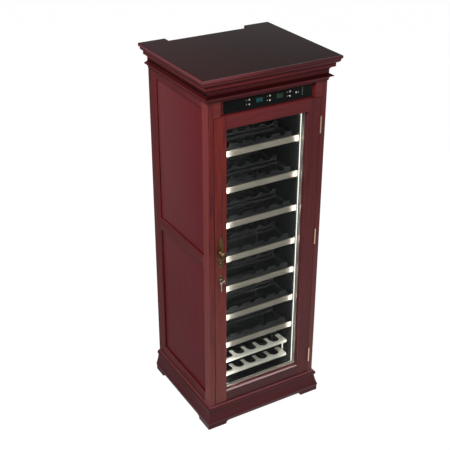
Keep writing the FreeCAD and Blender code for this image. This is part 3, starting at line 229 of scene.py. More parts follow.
def grain_place(tree, place, grain, seed):
    """Object coordinates squeezed along the grain, so that noise draws long fibres."""
    shift = (seed * 1.37, seed * 2.11, seed * 0.73)
    runs = [add(tree, "Mapping", {"Vector": place, "Location": shift, "Scale": ALONG[axis]})
            for axis in BUILT_UP.get(grain, grain)]
    if len(runs) == 1:
        return runs[0]
    axes = add(tree, "SeparateXYZ", {0: place}, None)
    if grain == "side frame":
        rear_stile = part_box("left_side_panels")[1].y - PANEL_TONGUE
        choice = add(tree, "Math", {0: axes[1], 1: rear_stile}, operation="GREATER_THAN")
    else:
        side_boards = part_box("bottom_board")[1].x - PLINTH_BOARD
        out = add(tree, "Math", {0: axes[0]}, operation="ABSOLUTE")
        inside = add(tree, "Math", {0: out, 1: side_boards}, operation="LESS_THAN")
        choice = add(tree, "Math", {0: front_part(tree, place), 1: inside}, operation="MAXIMUM")
    return add(tree, "Mix", {0: choice, 4: runs[0], 5: runs[1]}, 1, data_type="VECTOR")


def band_part(tree, place, bands):
    """How far a moulding's finish changes within bands of height."""
    height = add(tree, "SeparateXYZ", {0: place}, 2)
    front = front_part(tree, place)
    sides = add(tree, "Math", {0: 1.0, 1: front}, operation="SUBTRACT")
    runs = {"front": front, "sides": sides, "all": 1.0}
    total = 0.0
    for run, low, high, soft_low, soft_high, most in bands:
        rising = add(tree, "MapRange", {"Value": height, 1: low - soft_low, 2: low + soft_low, 4: most})
        falling = add(tree, "MapRange", {"Value": height, 1: high + soft_high, 2: high - soft_high})
        inside = add(tree, "Math", {0: rising, 1: falling}, operation="MULTIPLY")
        there = add(tree, "Math", {0: inside, 1: runs[run]}, operation="MULTIPLY")
        total = add(tree, "Math", {0: total, 1: there}, operation="MAXIMUM")
    return total


def painted_shade_part(tree, place, node):
    """How much painted shade darkens the wood: in the hollows of mouldings, where the overhangs shade them, and on
    the ledges round the side panels.
    """
    if node in HOLLOWS:
        return band_part(tree, place, HOLLOWS[node])
    if not node.endswith("side_frame"):
        return 0.0
    facing = add(tree, "NewGeometry", out="True Normal")
    axes = add(tree, "SeparateXYZ", {0: facing}, None)
    out = add(tree, "Math", {0: axes[0]}, operation="ABSOLUTE")
    ledge = add(tree, "MapRange", {"Value": out, 1: 0.6, 2: 0.5, 4: 0.75})
    not_rear = add(tree, "Math", {0: axes[1], 1: 0.5}, operation="LESS_THAN")
    return add(tree, "Math", {0: ledge, 1: not_rear}, operation="MULTIPLY")


def stain(tree, place, node, base):
    """Painted light and shade laid over one board's stain: dark top face and falloff on the top board, lit sides
    and painted sheen on the posts, a highlight on the cornice, sheen on the side panels.
    """
    tint = colours()
    axes = add(tree, "SeparateXYZ", {0: place}, None)
    normal = add(tree, "NewGeometry", out="Normal")
    facing = add(tree, "SeparateXYZ", {0: normal}, None)
    layers = []
    if node == "top_board":
        # Painted shade and light on the top board: darker towards the right and on its upper face, lighter towards
        # the left
        deep = add(tree, "MapRange", {"Value": axes[0], 1: -0.2, 2: 0.0, 4: 0.6})
        painted_bright = add(tree, "MapRange", {"Value": axes[0], 1: 0.0, 2: cad_low.x, 4: 0.9})
        upper = add(tree, "MapRange", {"Value": facing[2], 1: 0.25, 2: 0.95, 4: 0.9})
        layers = [(deep, tint.wood_dark), (painted_bright, tint.wood_painted_bright), (upper, tint.wood_top_shaded)]
    elif node.endswith("front_post") or node == "door_left_stile":
        # Painted light: the side faces of the front posts and left stile are lightened, and their low parts made
        # paler and greyer as a painted reflection
        out = add(tree, "Math", {0: facing[0]}, operation="ABSOLUTE")
        outer = add(tree, "MapRange", {"Value": out, 1: 0.5, 2: 0.9, 4: 0.6})
        low_part = add(tree, "MapRange", {"Value": axes[2], 1: 1.1, 2: 0.2, 4: 0.3})
        layers = [(outer, tint.wood_painted_lit_side), (low_part, tint.wood_painted_haze)]
    elif node in PAINTED_HIGHLIGHTS:
        # Painted highlight along the lower lip of the cornice's front, which would otherwise lie in the crown's
        # shadow
        layers = [(band_part(tree, place, PAINTED_HIGHLIGHTS[node]), tint.wood_painted_bright)]
    elif node.endswith("side_panels"):
        # Painted reflection: the side panels turn greyer towards the upper rear, where their sheen shows
        low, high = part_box(node)
        rear = add(tree, "MapRange", {"Value": axes[1], 1: low.y, 2: high.y})
        upper = add(tree, "MapRange", {"Value": axes[2], 1: 0.6, 2: 1.2, 3: 0.2, 4: 1.0})
        painted_sheen = add(tree, "Math", {0: rear, 1: upper}, operation="MULTIPLY")
        sheen_colour = add(tree, "Mix", {0: painted_sheen, 6: solid(tint.wood_deep), 7: solid(tint.wood_painted_sheen)}, **RGBA)
        base = add(tree, "Mix", {0: 0.75, 6: base, 7: sheen_colour}, **RGBA)
    for part, over in layers:
        base = add(tree, "Mix", {0: part, 6: base, 7: solid(over)}, **RGBA)
    return base


def mahogany(board, seed):
    """Mahogany, stained red-brown and sprayed with satin lacquer.

    The eye gets soft ribbons along each board, darker streaks and short pores under a thin even sheen.
    Painted shade darkens the hollows of the mouldings, where the overhangs shade them, and the ledges round the
    side panels.
    """
    tint, size = colours(), sizes()
    node, figure = board.node, board.figure
    material, tree, place = new_material("mahogany_stained_satin_lacquer_" + node)
    fibres = grain_place(tree, place, board.grain, seed)
    ribbon, streak, pore, tone = [
        add(tree, "TexNoise", {
            "Vector": fibres, "Scale": 1 / width, "Detail": detail, "Roughness": broken, "Distortion": wave})
        for width, detail, broken, wave in (
            (size.ribbon, 2.0, 0.55, 0.5), (size.streak, 3.0, 0.6, 0.0),
            (size.pore, 1.0, 0.5, 0.0), (size.tone, 1.0, 0.4, 0.0))]
    light_part = add(tree, "MapRange", {"Value": ribbon, 1: 0.34, 2: 0.68})
    warm_part = add(tree, "MapRange", {"Value": tone, 1: 0.35, 2: 0.65, 3: board.warmth * 0.3, 4: board.warmth})
    # The board's shade is painted shade: it darkens the whole board as well as its streaks
    dark_part = add(tree, "MapRange", {
        "Value": streak, 1: 0.50, 2: 0.76, 3: board.shade, 4: max(board.shade, 0.6 * figure)})
    pore_part = add(tree, "MapRange", {"Value": pore, 1: 0.58, 2: 0.72, 4: 0.4 * figure})
    shaded = painted_shade_part(tree, place, node)
    base = solid(tint.wood_mid)
    for part, over in ((light_part, tint.wood_light), (warm_part, tint.wood_warm), (dark_part, tint.wood_dark),
                       (pore_part, tint.wood_dark)):
        base = add(tree, "Mix", {0: part, 6: base, 7: solid(over)}, **RGBA)
    # Painted light and shade over the stain, board by board
    base = stain(tree, place, node, base)
    base = add(tree, "Mix", {0: shaded, 6: base, 7: solid(tint.painted_shade)}, **RGBA)
    smooth = 0.17 if node == "top_board" else 0.36
    rough = add(tree, "MapRange", {"Value": streak, 1: 0.3, 2: 0.7, 3: smooth, 4: smooth + 0.1 * figure})
    # The painted shade also takes the lacquer's sheen away, so that no reflection shows in it
    sheen = add(tree, "MapRange", {"Value": shaded, 3: board.gloss, 4: 0.0})
    coat = 1.0 if node == "glazing_bead" else 0.06
    coated = add(tree, "MapRange", {"Value": shaded, 3: coat, 4: 0.0})
    normal = add(tree, "Bump", {"Strength": 0.25 * figure, "Distance": 0.0004, "Height": pore_part}, invert=True)
    close_material(tree, {
        "Base Color": base, "Roughness": rough, "Normal": normal, "Specular IOR Level": sheen,
        "Coat Weight": coated, "Coat Roughness": 0.16})
    return material


def moulded_plastic(name, rgb, roughness, grit, depth, specular=0.35):
    """Plastic with a fine grain from its mould: an even colour with a broken, soft sheen."""
    material, tree, place = new_material(name)
    grain = add(tree, "TexNoise", {"Vector": place, "Scale": 1 / grit, "Detail": 2.0, "Roughness": 0.6})
    # The sheet's shade drifts over about 110 mm
    patch = add(tree, "TexNoise", {"Vector": place, "Scale": 9.0, "Detail": 2.0})
    shade = add(tree, "MapRange", {"Value": patch, 1: 0.3, 2: 0.7, 3: 0.0, 4: 0.35})
    pale = tuple(min(1, c * 1.5 + 0.004) for c in rgb)
    base = add(tree, "Mix", {0: shade, 6: solid(rgb), 7: solid(pale)}, **RGBA)
    rough = add(tree, "MapRange", {"Value": grain, 1: 0.3, 2: 0.7, 3: roughness - 0.06, 4: roughness + 0.06})
    normal = add(tree, "Bump", {"Strength": 0.35, "Distance": depth, "Height": grain})
    close_material(tree, {"Base Color": base, "Roughness": rough, "Normal": normal, "Specular IOR Level": specular})
    return material


# Real brush lines are about 0.1 mm apart; they are drawn at 0.8 mm so that they show
BRUSH_LINE = 0.0008
BRUSHED = {"X": (0.01, 1, 1), "Z": (1, 1, 0.01)}


def brush_marks(tree, place, rgb, axis):
    """Brush lines along a metal face: its colour, how bright each line is, and the normal that they bend."""
    stretched = add(tree, "Mapping", {"Vector": place, "Scale": BRUSHED[axis]})
    lines = add(tree, "TexNoise", {"Vector": stretched, "Scale": 1 / BRUSH_LINE, "Detail": 2.0, "Roughness": 0.6})
    # Smears from wiping are about 70 mm across
    smear = add(tree, "TexNoise", {"Vector": place, "Scale": 14.0, "Detail": 3.0})
    both = add(tree, "Math", {0: lines, 1: smear}, operation="ADD")
    bright = add(tree, "MapRange", {"Value": both, 1: 0.7, 2: 1.3})
    dull = tuple(c * 0.72 for c in rgb)
    face = add(tree, "Mix", {0: bright, 6: solid(dull), 7: solid(rgb)}, **RGBA)
    return face, bright, add(tree, "Bump", {"Strength": 0.2, "Distance": 0.0001, "Height": lines})


def brushed_metal(name, rgb, axis, roughness):
    """Rolled metal brushed along its length: fine straight lines that stretch each highlight."""
    material, tree, place = new_material(name)
    face, bright, normal = brush_marks(tree, place, rgb, axis)
    rough = add(tree, "MapRange", {"Value": bright, 3: roughness - 0.07, 4: roughness + 0.07})
    close_material(tree, {"Base Color": face, "Metallic": 1.0, "Roughness": rough, "Normal": normal})
    return material


def shelf_finish():
    """Steel shelf: the front band is brushed bare metal and the cradles behind it are coated black."""
    material, tree, place = new_material("stainless_steel_brushed_front_black_coated_cradles")
    face, bright, normal = brush_marks(tree, place, colours().steel, "X")
    band_depth = 0.0045
    depth = add(tree, "SeparateXYZ", {0: place}, 1)
    coated = add(tree, "Math", {
        0: depth, 1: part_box(SHELVES[0])[0].y + band_depth}, operation="GREATER_THAN")
    base = add(tree, "Mix", {0: coated, 6: face, 7: solid(linear("0d0d0d"))}, **RGBA)
    metal = add(tree, "MapRange", {"Value": coated, 3: 0.3, 4: 0.0})
    rough = add(tree, "MapRange", {"Value": bright, 3: 0.4, 4: 0.55})
    close_material(tree, {
        "Base Color": base, "Metallic": metal, "Roughness": rough, "Normal": normal, "Specular IOR Level": 0.3})
    return material


def orange_peel(tree, place, roughness):
    """The dimpled skin of baked powder: its roughness and normal."""
    # Real orange peel is about 1.5 mm from dimple to dimple
    peel = add(tree, "TexNoise", {"Vector": place, "Scale": 1 / 0.0015, "Detail": 1.0})
    rough = add(tree, "MapRange", {"Value": peel, 1: 0.3, 2: 0.7, 3: roughness - 0.05, 4: roughness + 0.05})
    return rough, add(tree, "Bump", {"Strength": 0.15, "Distance": 0.0002, "Height": peel})


def powder_coat(name, rgb, roughness):
    """Sprayed and baked powder: an even colour with a faint orange peel."""
    material, tree, place = new_material(name)
    # Dust lies in clouds of about 170 mm
    dust = add(tree, "TexNoise", {"Vector": place, "Scale": 6.0, "Detail": 3.0})
    shade = add(tree, "MapRange", {"Value": dust, 1: 0.35, 2: 0.7, 4: 0.5})
    dim = tuple(c * 0.86 for c in rgb)
    base = add(tree, "Mix", {0: shade, 6: solid(rgb), 7: solid(dim)}, **RGBA)
    rough, normal = orange_peel(tree, place, roughness)
    close_material(tree, {"Base Color": base, "Roughness": rough, "Normal": normal, "Specular IOR Level": 0.4})
    return material


def rack_finish():
    """Powder-coated steel rack: the combs at its front are white and the bars and legs behind them black."""
    material, tree, place = new_material("steel_powder_coated_white_comb_black_frame")
    comb_depth = 0.08
    depth = add(tree, "SeparateXYZ", {0: place}, 1)
    behind = add(tree, "Math", {
        0: depth, 1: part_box("neck_rack")[0].y + comb_depth}, operation="GREATER_THAN")
    base = add(tree, "Mix", {0: behind, 6: solid(colours().rack), 7: solid(linear("101010"))}, **RGBA)
    rough, normal = orange_peel(tree, place, 0.43)
    close_material(tree, {"Base Color": base, "Roughness": rough, "Normal": normal, "Specular IOR Level": 0.3})
    return material


def cast_brass(name, wear, gloss):
    """Cast brass, aged dark in its hollows and rubbed bright on its high spots, under clear lacquer."""
    tint = colours()
    material, tree, place = new_material(name)
    # Patina lies in blots of 6 mm, and the casting's skin has a grain of 1.2 mm
    patina = add(tree, "TexNoise", {"Vector": place, "Scale": 1 / 0.006, "Detail": 4.0, "Roughness": 0.65})
    fine = add(tree, "TexNoise", {"Vector": place, "Scale": 1 / 0.0012, "Detail": 2.0})
    rubbed = add(tree, "MapRange", {"Value": patina, 1: 0.62 - wear * 0.35, 2: 0.78 - wear * 0.35})
    base = add(tree, "Mix", {0: rubbed, 6: solid(tint.brass_dark), 7: solid(tint.brass_bright)}, **RGBA)
    rough = add(tree, "MapRange", {"Value": rubbed, 3: 0.5, 4: gloss})
    normal = add(tree, "Bump", {"Strength": 0.2, "Distance": 0.0002, "Height": fine})
    close_material(tree, {
        "Base Color": base, "Metallic": 1.0, "Roughness": rough, "Normal": normal,
        "Coat Weight": 0.1, "Coat Roughness": 0.3})
    return material


def plated_metal(name, rgb, roughness):
    """Polished metal under thin plating: a clear bright mirror with faint handling marks."""
    material, tree, place = new_material(name)
    # Handling marks are about 3 mm long
    marks = add(tree, "TexNoise", {"Vector": place, "Scale": 1 / 0.003, "Detail": 4.0})
    fade = add(tree, "MapRange", {"Value": marks, 1: 0.35, 2: 0.7, 4: 0.6})
    dull = tuple(c * 0.75 for c in rgb)
    base = add(tree, "Mix", {0: fade, 6: solid(rgb), 7: solid(dull)}, **RGBA)
    rough = add(tree, "MapRange", {"Value": marks, 1: 0.3, 2: 0.7, 3: roughness - 0.05, 4: roughness + 0.08})
    close_material(tree, {"Base Color": base, "Metallic": 1.0, "Roughness": rough})
    return material


def float_glass():
    """Float glass with an anti-reflection coat: clear, with a weak mirror, and lamps shine through it."""
    material, tree, _ = new_material("float_glass_coated")
    glass = add(tree, "BsdfPrincipled", {
        "Base Color": (0.97, 0.985, 0.975, 1), "Roughness": 0.0, "IOR": 1.06, "Transmission Weight": 1.0})
    clear = add(tree, "BsdfTransparent", {"Color": (0.95, 0.965, 0.955, 1)})
    shadow = add(tree, "LightPath", out="Is Shadow Ray")
    close_material(tree, {0: shadow, 1: glass, 2: clear}, "MixShader")
    return material


def lit_diffuser():
    """Opal acrylic in a dark channel: the inner half of its front glows, with a soft spot at each lamp."""
    tint, size = colours(), sizes()
    low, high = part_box("light_strips")
    dark_side, glow_depth = 0.0036, 0.0005
    material, tree, place = new_material("opal_acrylic_lit")
    axes = add(tree, "SeparateXYZ", {0: place}, None)
    # The lamps stand 16.7 mm apart, 60 to the metre
    turns = add(tree, "Math", {0: axes[2], 1: 60 * math.tau}, operation="MULTIPLY")
    wave = add(tree, "Math", {0: turns}, operation="SINE")
    spots = add(tree, "MapRange", {
        "Value": wave, 1: -1.0, 2: 1.0, 3: size.light_strength * 0.8, 4: size.light_strength})
    out = add(tree, "Math", {0: axes[0]}, operation="ABSOLUTE")
    inner = add(tree, "Math", {0: out, 1: high.x - dark_side}, operation="LESS_THAN")
    front = add(tree, "Math", {0: axes[1], 1: low.y + glow_depth}, operation="LESS_THAN")
    corner = add(tree, "Math", {0: inner, 1: front}, operation="MULTIPLY")
    strength = add(tree, "Math", {0: spots, 1: corner}, operation="MULTIPLY")
    close_material(tree, {
        "Base Color": solid(linear("1c1b1a")), "Roughness": 0.4, "Specular IOR Level": 0.1,
        "Emission Color": solid(tint.light), "Emission Strength": strength})
    return material


def lit_display():
    """Back-lit liquid crystal behind clear acrylic: a soft glow, blue-green at left and grey-green at right."""
    tint = colours()
    low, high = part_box("display_windows")
    middle = (low + high) / 2
    # Each window is 43 mm by 33 mm, and its lit field is 33 mm by 19 mm inside a black border
    half_wide, half_tall = 0.0165, 0.0095
    half_pitch = (high.x - low.x) / 2 - (high.z - low.z) / 2 * 43 / 33
    material, tree, place = new_material("liquid_crystal_back_lit")
    axes = add(tree, "SeparateXYZ", {0: place}, None)
    right = add(tree, "Math", {0: axes[0], 1: middle.x}, operation="GREATER_THAN")
    glow = add(tree, "Mix", {0: right, 6: solid(tint.display_left), 7: solid(tint.display_right)}, **RGBA)
    # The back light is uneven over about 17 mm
    cloud = add(tree, "TexNoise", {"Vector": place, "Scale": 60.0, "Detail": 2.0})
    bright = add(tree, "MapRange", {"Value": cloud, 1: 0.3, 2: 0.7, 3: 0.4, 4: 0.8})
    from_middle = add(tree, "Math", {0: axes[0], 1: middle.x}, operation="SUBTRACT")
    either = add(tree, "Math", {0: from_middle}, operation="ABSOLUTE")
    wide = add(tree, "Math", {0: either, 1: half_pitch, 2: half_wide}, operation="COMPARE")
    tall = add(tree, "Math", {0: axes[2], 1: middle.z, 2: half_tall}, operation="COMPARE")
    field = add(tree, "Math", {0: wide, 1: tall}, operation="MULTIPLY")
    strength = add(tree, "Math", {0: field, 1: bright}, operation="MULTIPLY")
    close_material(tree, {
        "Base Color": solid(linear("0c1010")), "Roughness": 0.12, "Specular IOR Level": 0.15,
        "Emission Color": glow, "Emission Strength": strength})
    return material


def printed_mark(name, code):
    """Screen-printed ink: flat and matt, with the slight unevenness of a mesh of 0.4 mm."""
    material, tree, place = new_material(name)
    mesh = add(tree, "TexNoise", {"Vector": place, "Scale": 1 / 0.0004, "Detail": 1.0})
    fade = add(tree, "MapRange", {"Value": mesh, 1: 0.3, 2: 0.7, 4: 0.25})
    ink = linear(code)
    thin = tuple(c * 0.7 for c in ink)
    base = add(tree, "Mix", {0: fade, 6: solid(ink), 7: solid(thin)}, **RGBA)
    close_material(tree, {"Base Color": base, "Roughness": 0.6})
    return material


def dress(material, *nodes):
    """Give nodes of the frame their material."""
    for node in nodes:
        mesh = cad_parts[node].data
        mesh.materials.clear()
        mesh.materials.append(material)


# Mesh pieces

# The way that the door faces, and the sides of bosses and screw heads
FRONT = Vector((0, -1, 0))
SMALL_SIDES = 24


def piece(name, bm, material, smooth_angle=math.radians(35)):
    """An object from a finished bmesh."""
    bmesh.ops.recalc_face_normals(bm, faces=bm.faces)
    mesh = bpy.data.meshes.new(name)
    bm.to_mesh(mesh)
    bm.free()
    mesh.shade_smooth()
    mesh.set_sharp_from_angle(angle=smooth_angle)
    mesh.materials.append(material)
    made = bpy.data.objects.new(name, mesh)
    bpy.context.scene.collection.objects.link(made)
    return made


def settle(made, body, slot, *nodes):
    """Join a piece to its body and hide the frame nodes that it stands for; the finish slot is not used."""
    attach(made, body)
    if nodes:
        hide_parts(*nodes)


def face_middle(node, out):
    """The middle of the side of a node's box that faces out."""
    low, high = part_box(node)
    return Vector([(a + b) / 2 + (b - a) / 2 * way for a, b, way in zip(low, high, out)])


def bridge(bm, first, second):
    """Faces between two rings of vertices; a ring of one vertex is a pole."""
    sides = max(len(first), len(second))
    for index in range(sides):
        after = (index + 1) % sides
        corners = [first[index % len(first)], first[after % len(first)],
                   second[after % len(second)], second[index % len(second)]]
        bm.faces.new(list(dict.fromkeys(corners)))


def add_box(bm, low, high, edge):
    """A box with softened edges."""
    made = bmesh.ops.create_cube(bm, size=1.0)["verts"]
    low, high = Vector(low), Vector(high)
    for vert in made:
        share = vert.co + Vector((0.5, 0.5, 0.5))
        vert.co = Vector([low[i] + share[i] * (high[i] - low[i]) for i in range(3)])
    edges = list(dict.fromkeys(e for vert in made for e in vert.link_edges))
    bmesh.ops.bevel(bm, geom=edges, offset=edge, segments=2, affect="EDGES", profile=0.5)


def add_turned(bm, profile, centre, axis, sides):
    """A turned form: profile pairs of radius and distance along the axis from the centre. Gives its rings."""
    axis = Vector(axis).normalized()
    side = axis.orthogonal().normalized()
    third = axis.cross(side)
    turns = [math.tau * index / sides for index in range(sides)]
    rings = []
    for radius, along in profile:
        middle = Vector(centre) + axis * along
        spokes = [side * math.cos(t) + third * math.sin(t) for t in turns] if radius else [side]
        rings.append([bm.verts.new(middle + spoke * radius) for spoke in spokes])
    for first, second in zip(rings, rings[1:]):
        bridge(bm, first, second)
    return rings


def add_slab(bm, fronts, backs):
    """A slab between two outlines of as many points."""
    fronts, backs = [[bm.verts.new(point) for point in outline] for outline in (fronts, backs)]
    bm.faces.new(fronts)
    bm.faces.new(backs[::-1])
    bridge(bm, backs, fronts)


def add_plate(bm, points, front, back):
    """A thin flat shape: points are pairs in x and z."""
    add_slab(bm, [(x, front, z) for x, z in points], [(x, back, z) for x, z in points])


def rectangle(x_low, x_high, z_low, z_high):
    return [(x_low, z_low), (x_high, z_low), (x_high, z_high), (x_low, z_high)]


def add_screw(bm, place, out, radius, turn=0.6):
    """A countersunk screw head set just proud of its seat, with a bar that draws its slot."""
    out = Vector(out).normalized()
    side = out.orthogonal().normalized()
    lift = radius * 0.12
    rings = add_turned(
        bm, [(radius, 0.0), (radius * 0.92, lift * 0.8), (radius * 0.7, lift)], place, out, SMALL_SIDES)
    bm.faces.new(rings[-1])
    bm.faces.new(rings[0][::-1])
    along = side * math.cos(turn) + out.cross(side) * math.sin(turn)
    reach, half_slot, thick = along * radius * 0.9, out.cross(along) * radius * 0.16, out * radius * 0.066
    top = Vector(place) + out * lift * 1.02
    tops = [top - reach - half_slot, top + reach - half_slot, top + reach + half_slot, top - reach + half_slot]
    add_slab(bm, tops, [point - thick for point in tops])


class CABINET_OT_woodwork(bpy.types.Operator):
    """Give each board its own mahogany, with the grain along its length"""

    bl_idname = "cabinet.woodwork"
    bl_label = "Woodwork"

    def execute(self, context):
        # The last column is painted shade, mostly for the boards low down and on the right that get less light
        boards = (
            Board("top_board", "X", 0.0, 0.15, 0.1, 0.0),
            Board("cornice_moulding", "moulding", 0.1, 0.7, 0.1, 0.0),
            Board("header_board", "X", 0.4, 1.0, 0.25, 0.0),
            Board("left_front_post", "Z", 0.5, 2.2, 0.2, 0.0),
            Board("right_front_post", "Z", 0.2, 1.0, 0.2, 0.2),
            Board("left_side_frame", "side frame", 0.1, 0.8, 0.1, 0.0),
            Board("right_side_frame", "side frame", 0.1, 0.8, 0.1, 0.0),
            Board("left_side_panels", "Z", 0.0, 0.5, 0.1, 0.0),
            Board("right_side_panels", "Z", 0.0, 0.5, 0.1, 0.0),
            Board("plinth", "moulding", 0.0, 0.7, 0.15, 0.6),
            Board("bottom_board", "X", 0.0, 1.0, 0.1, 0.2),
            Board("door_left_stile", "Z", 0.9, 2.2, 0.2, 0.0),
            Board("door_right_stile", "Z", 0.15, 1.0, 0.2, 0.25),
            Board("door_top_rail", "X", 0.2, 1.0, 0.2, 0.0),
            Board("door_bottom_rail", "X", 0.0, 1.0, 0.2, 0.75),
            Board("glazing_bead", "Z", 0.0, 1.0, 0.2, 0.4),
        )
        for seed, board in enumerate(boards, 1):
            dress(mahogany(board, seed), board.node)
        return {"FINISHED"}


class CABINET_OT_cold_box(bpy.types.Operator):
    """Finish the liner, lights, shelves and neck rack"""

    bl_idname = "cabinet.cold_box"
    bl_label = "Cold box"

    def execute(self, context):
        tint = colours()
        skin = moulded_plastic(
            "abs_vacuum_formed_black", tint.liner, roughness=0.5, grit=0.0025, depth=0.0003, specular=0.15)
        dress(skin, "liner_left_wall", "liner_right_wall", "liner_rear_wall", "liner_ceiling", "liner_floor",
              "shelf_runners")
        mouth = moulded_plastic("abs_moulded_grey", tint.liner_edge, roughness=0.5, grit=0.002, depth=0.0002)
        dress(mouth, "liner_front_frame")
        dress(lit_diffuser(), "light_strips")
        dress(shelf_finish(), *SHELVES)
        dress(rack_finish(), "neck_rack")
        rubber = moulded_plastic(
            "rubber_extruded_black", linear("161616"), roughness=0.62, grit=0.0018, depth=0.0002)
        dress(rubber, "door_gasket")
        return {"FINISHED"}


class CABINET_OT_door_glass(bpy.types.Operator):
    """Make the two panes and the bar between them"""

    bl_idname = "cabinet.door_glass"
    bl_label = "Door glass"

    def execute(self, context):
        size = sizes()
        low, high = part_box("glass_unit")
        glass = float_glass()
        for name, front in (("outer_pane", low.y), ("inner_pane", high.y - size.pane)):
            bm = bmesh.new()
            add_box(bm, (low.x, front, low.z), (high.x, front + size.pane, high.z), size.arris)
            settle(piece(name, bm, glass, 0), "door", "door_glass", "glass_unit")
        bm = bmesh.new()
        front, back = low.y + size.pane, high.y - size.pane
        for x_low, x_high, z_low, z_high in (
                (low.x, low.x + size.spacer, low.z, high.z), (high.x - size.spacer, high.x, low.z, high.z),
                (low.x + size.spacer, high.x - size.spacer, low.z, low.z + size.spacer),
                (low.x + size.spacer, high.x - size.spacer, high.z - size.spacer, high.z)):
            add_box(bm, (x_low, front, z_low), (x_high, back, z_high), size.arris)
        bar = brushed_metal("aluminium_roll_formed", linear("f2e6de"), "Z", 0.5)
        settle(piece("spacer_bar", bm, bar, 0), "door", "shelf_steel", "glass_unit")
        return {"FINISHED"}


# The segments that are lit for each digit on show, lettered as usual from the top round to the middle
SEGMENTS = {"1": "bc", "2": "abged", "6": "afgcde"}
# How far digits and printed marks stand proud of their face and reach into it
DIGIT_PROUD, DIGIT_SUNK = 0.00012, 0.00005
INK = 0.0001
# Bars of the gauge: low end and high end above its foot, and half width
GAUGE = ((0.0, 0.0035, 0.0016), (0.008, 0.0165, 0.0009), (0.0185, 0.0265, 0.0009), (0.0285, 0.0355, 0.0009))


def add_digit(bm, number, x, z, tall, face):
    """One seven-segment digit with its lower left corner at x and z."""
    wide, thick = tall * 0.52, tall * 0.13
    half, gap = thick / 2, tall * 0.02
    places = {
        "a": (0, tall, "x"), "g": (0, tall / 2, "x"), "d": (0, 0, "x"),
        "f": (0, tall / 2, "z"), "b": (wide, tall / 2, "z"), "e": (0, 0, "z"), "c": (wide, 0, "z"),
    }
    for letter in SEGMENTS[number]:
        dx, dz, run = places[letter]
        long = wide if run == "x" else tall / 2
        outline = [(gap, 0), (half + gap, half), (long - half - gap, half), (long - gap, 0),
                   (long - half - gap, -half), (half + gap, -half)]
        if run == "z":
            outline = [(b, a) for a, b in outline]
        add_plate(bm, [(x + dx + a, z + dz + b) for a, b in outline], face - DIGIT_PROUD, face + DIGIT_SUNK)


class CABINET_OT_control_strip(bpy.types.Operator):
    """Finish the control strip and make its digits, marks and button caps"""

    bl_idname = "cabinet.control_strip"
    bl_label = "Control strip"

    def execute(self, context):
        strip = moulded_plastic(
            "acrylic_cast_black", colours().strip, roughness=0.16, grit=0.004, depth=0.00003, specular=0.12)
        dress(strip, "control_fascia")
        dress(lit_display(), "display_windows")
        board = moulded_plastic(
            "epoxy_glass_board_green", linear("12482c"), roughness=0.4, grit=0.003, depth=0.0001)
        dress(board, "control_board")
        self.digits()
        self.marks()
        self.caps()
        return {"FINISHED"}

    def digits(self):
        """Two digits on each display."""
        tall = sizes().digit
        low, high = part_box("display_windows")
        foot = (low.z + high.z) / 2 - tall / 2
        segment = printed_mark("liquid_crystal_segment", "0d1c1b")
        for name, left, text in (("left_digits", low.x + 0.010, "12"), ("right_digits", high.x - 0.033, "16")):
            bm = bmesh.new()
            for index, number in enumerate(text):
                add_digit(bm, number, left + index * tall * 0.78, foot, tall, low.y)
            settle(piece(name, bm, segment), "cabinet", "display_glass")

    def marks(self):
        """Arrows beside the buttons, a block beside the power button and the gauge at the strip's end."""
        shapes = []
        for index, node in enumerate(BUTTONS[:-1]):
            low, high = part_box(node)
            x, z = low.x - 0.0075, (low.z + high.z) / 2
            up = 1 if index % 2 == 0 else -1
            shapes.append([(x - 0.0032, z - 0.0026 * up), (x + 0.0032, z - 0.0026 * up), (x, z + 0.0030 * up)])
        low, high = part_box("power_button")
        x, z = high.x + 0.006, (low.z + high.z) / 2
        shapes.append(rectangle(x - 0.002, x + 0.002, z - 0.003, z + 0.003))
        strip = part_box("control_fascia")[0]
        x, foot = high.x + 0.0275, strip.z + 0.0165
        shapes += [rectangle(x - half, x + half, foot + start, foot + end) for start, end, half in GAUGE]
        bm = bmesh.new()
        for shape in shapes:
            add_plate(bm, shape, strip.y - INK, strip.y + INK)
        ink = printed_mark("ink_screen_printed_pale", "9c9f9b")
        settle(piece("button_marks", bm, ink), "cabinet", "fascia_black")

    def caps(self):
        """Turned caps with a dished face and a flange behind the strip."""
        size = sizes()
        cap, flange_thick = size.cap, 0.002
        silver = plated_metal("abs_metallised_satin", linear("dcdad4"), 0.24)
        for node in BUTTONS:
            low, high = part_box(node)
            flange, deep = (high.x - low.x) / 2, high.y - low.y
            seat = deep - flange_thick
            profile = [(0, 0.0004), (cap * 0.45, 0.00025), (cap * 0.72, 0), (cap * 0.88, 0.00015),
                       (cap * 0.97, 0.0006), (cap, 0.0013), (cap, seat),
                       (flange, seat), (flange, deep), (0, deep)]
            bm = bmesh.new()
            add_turned(bm, profile, face_middle(node, FRONT), -FRONT, size.lathe_sides)
            settle(piece(node + "_cap_turned", bm, silver), node + "_cap", "button_silver", node)


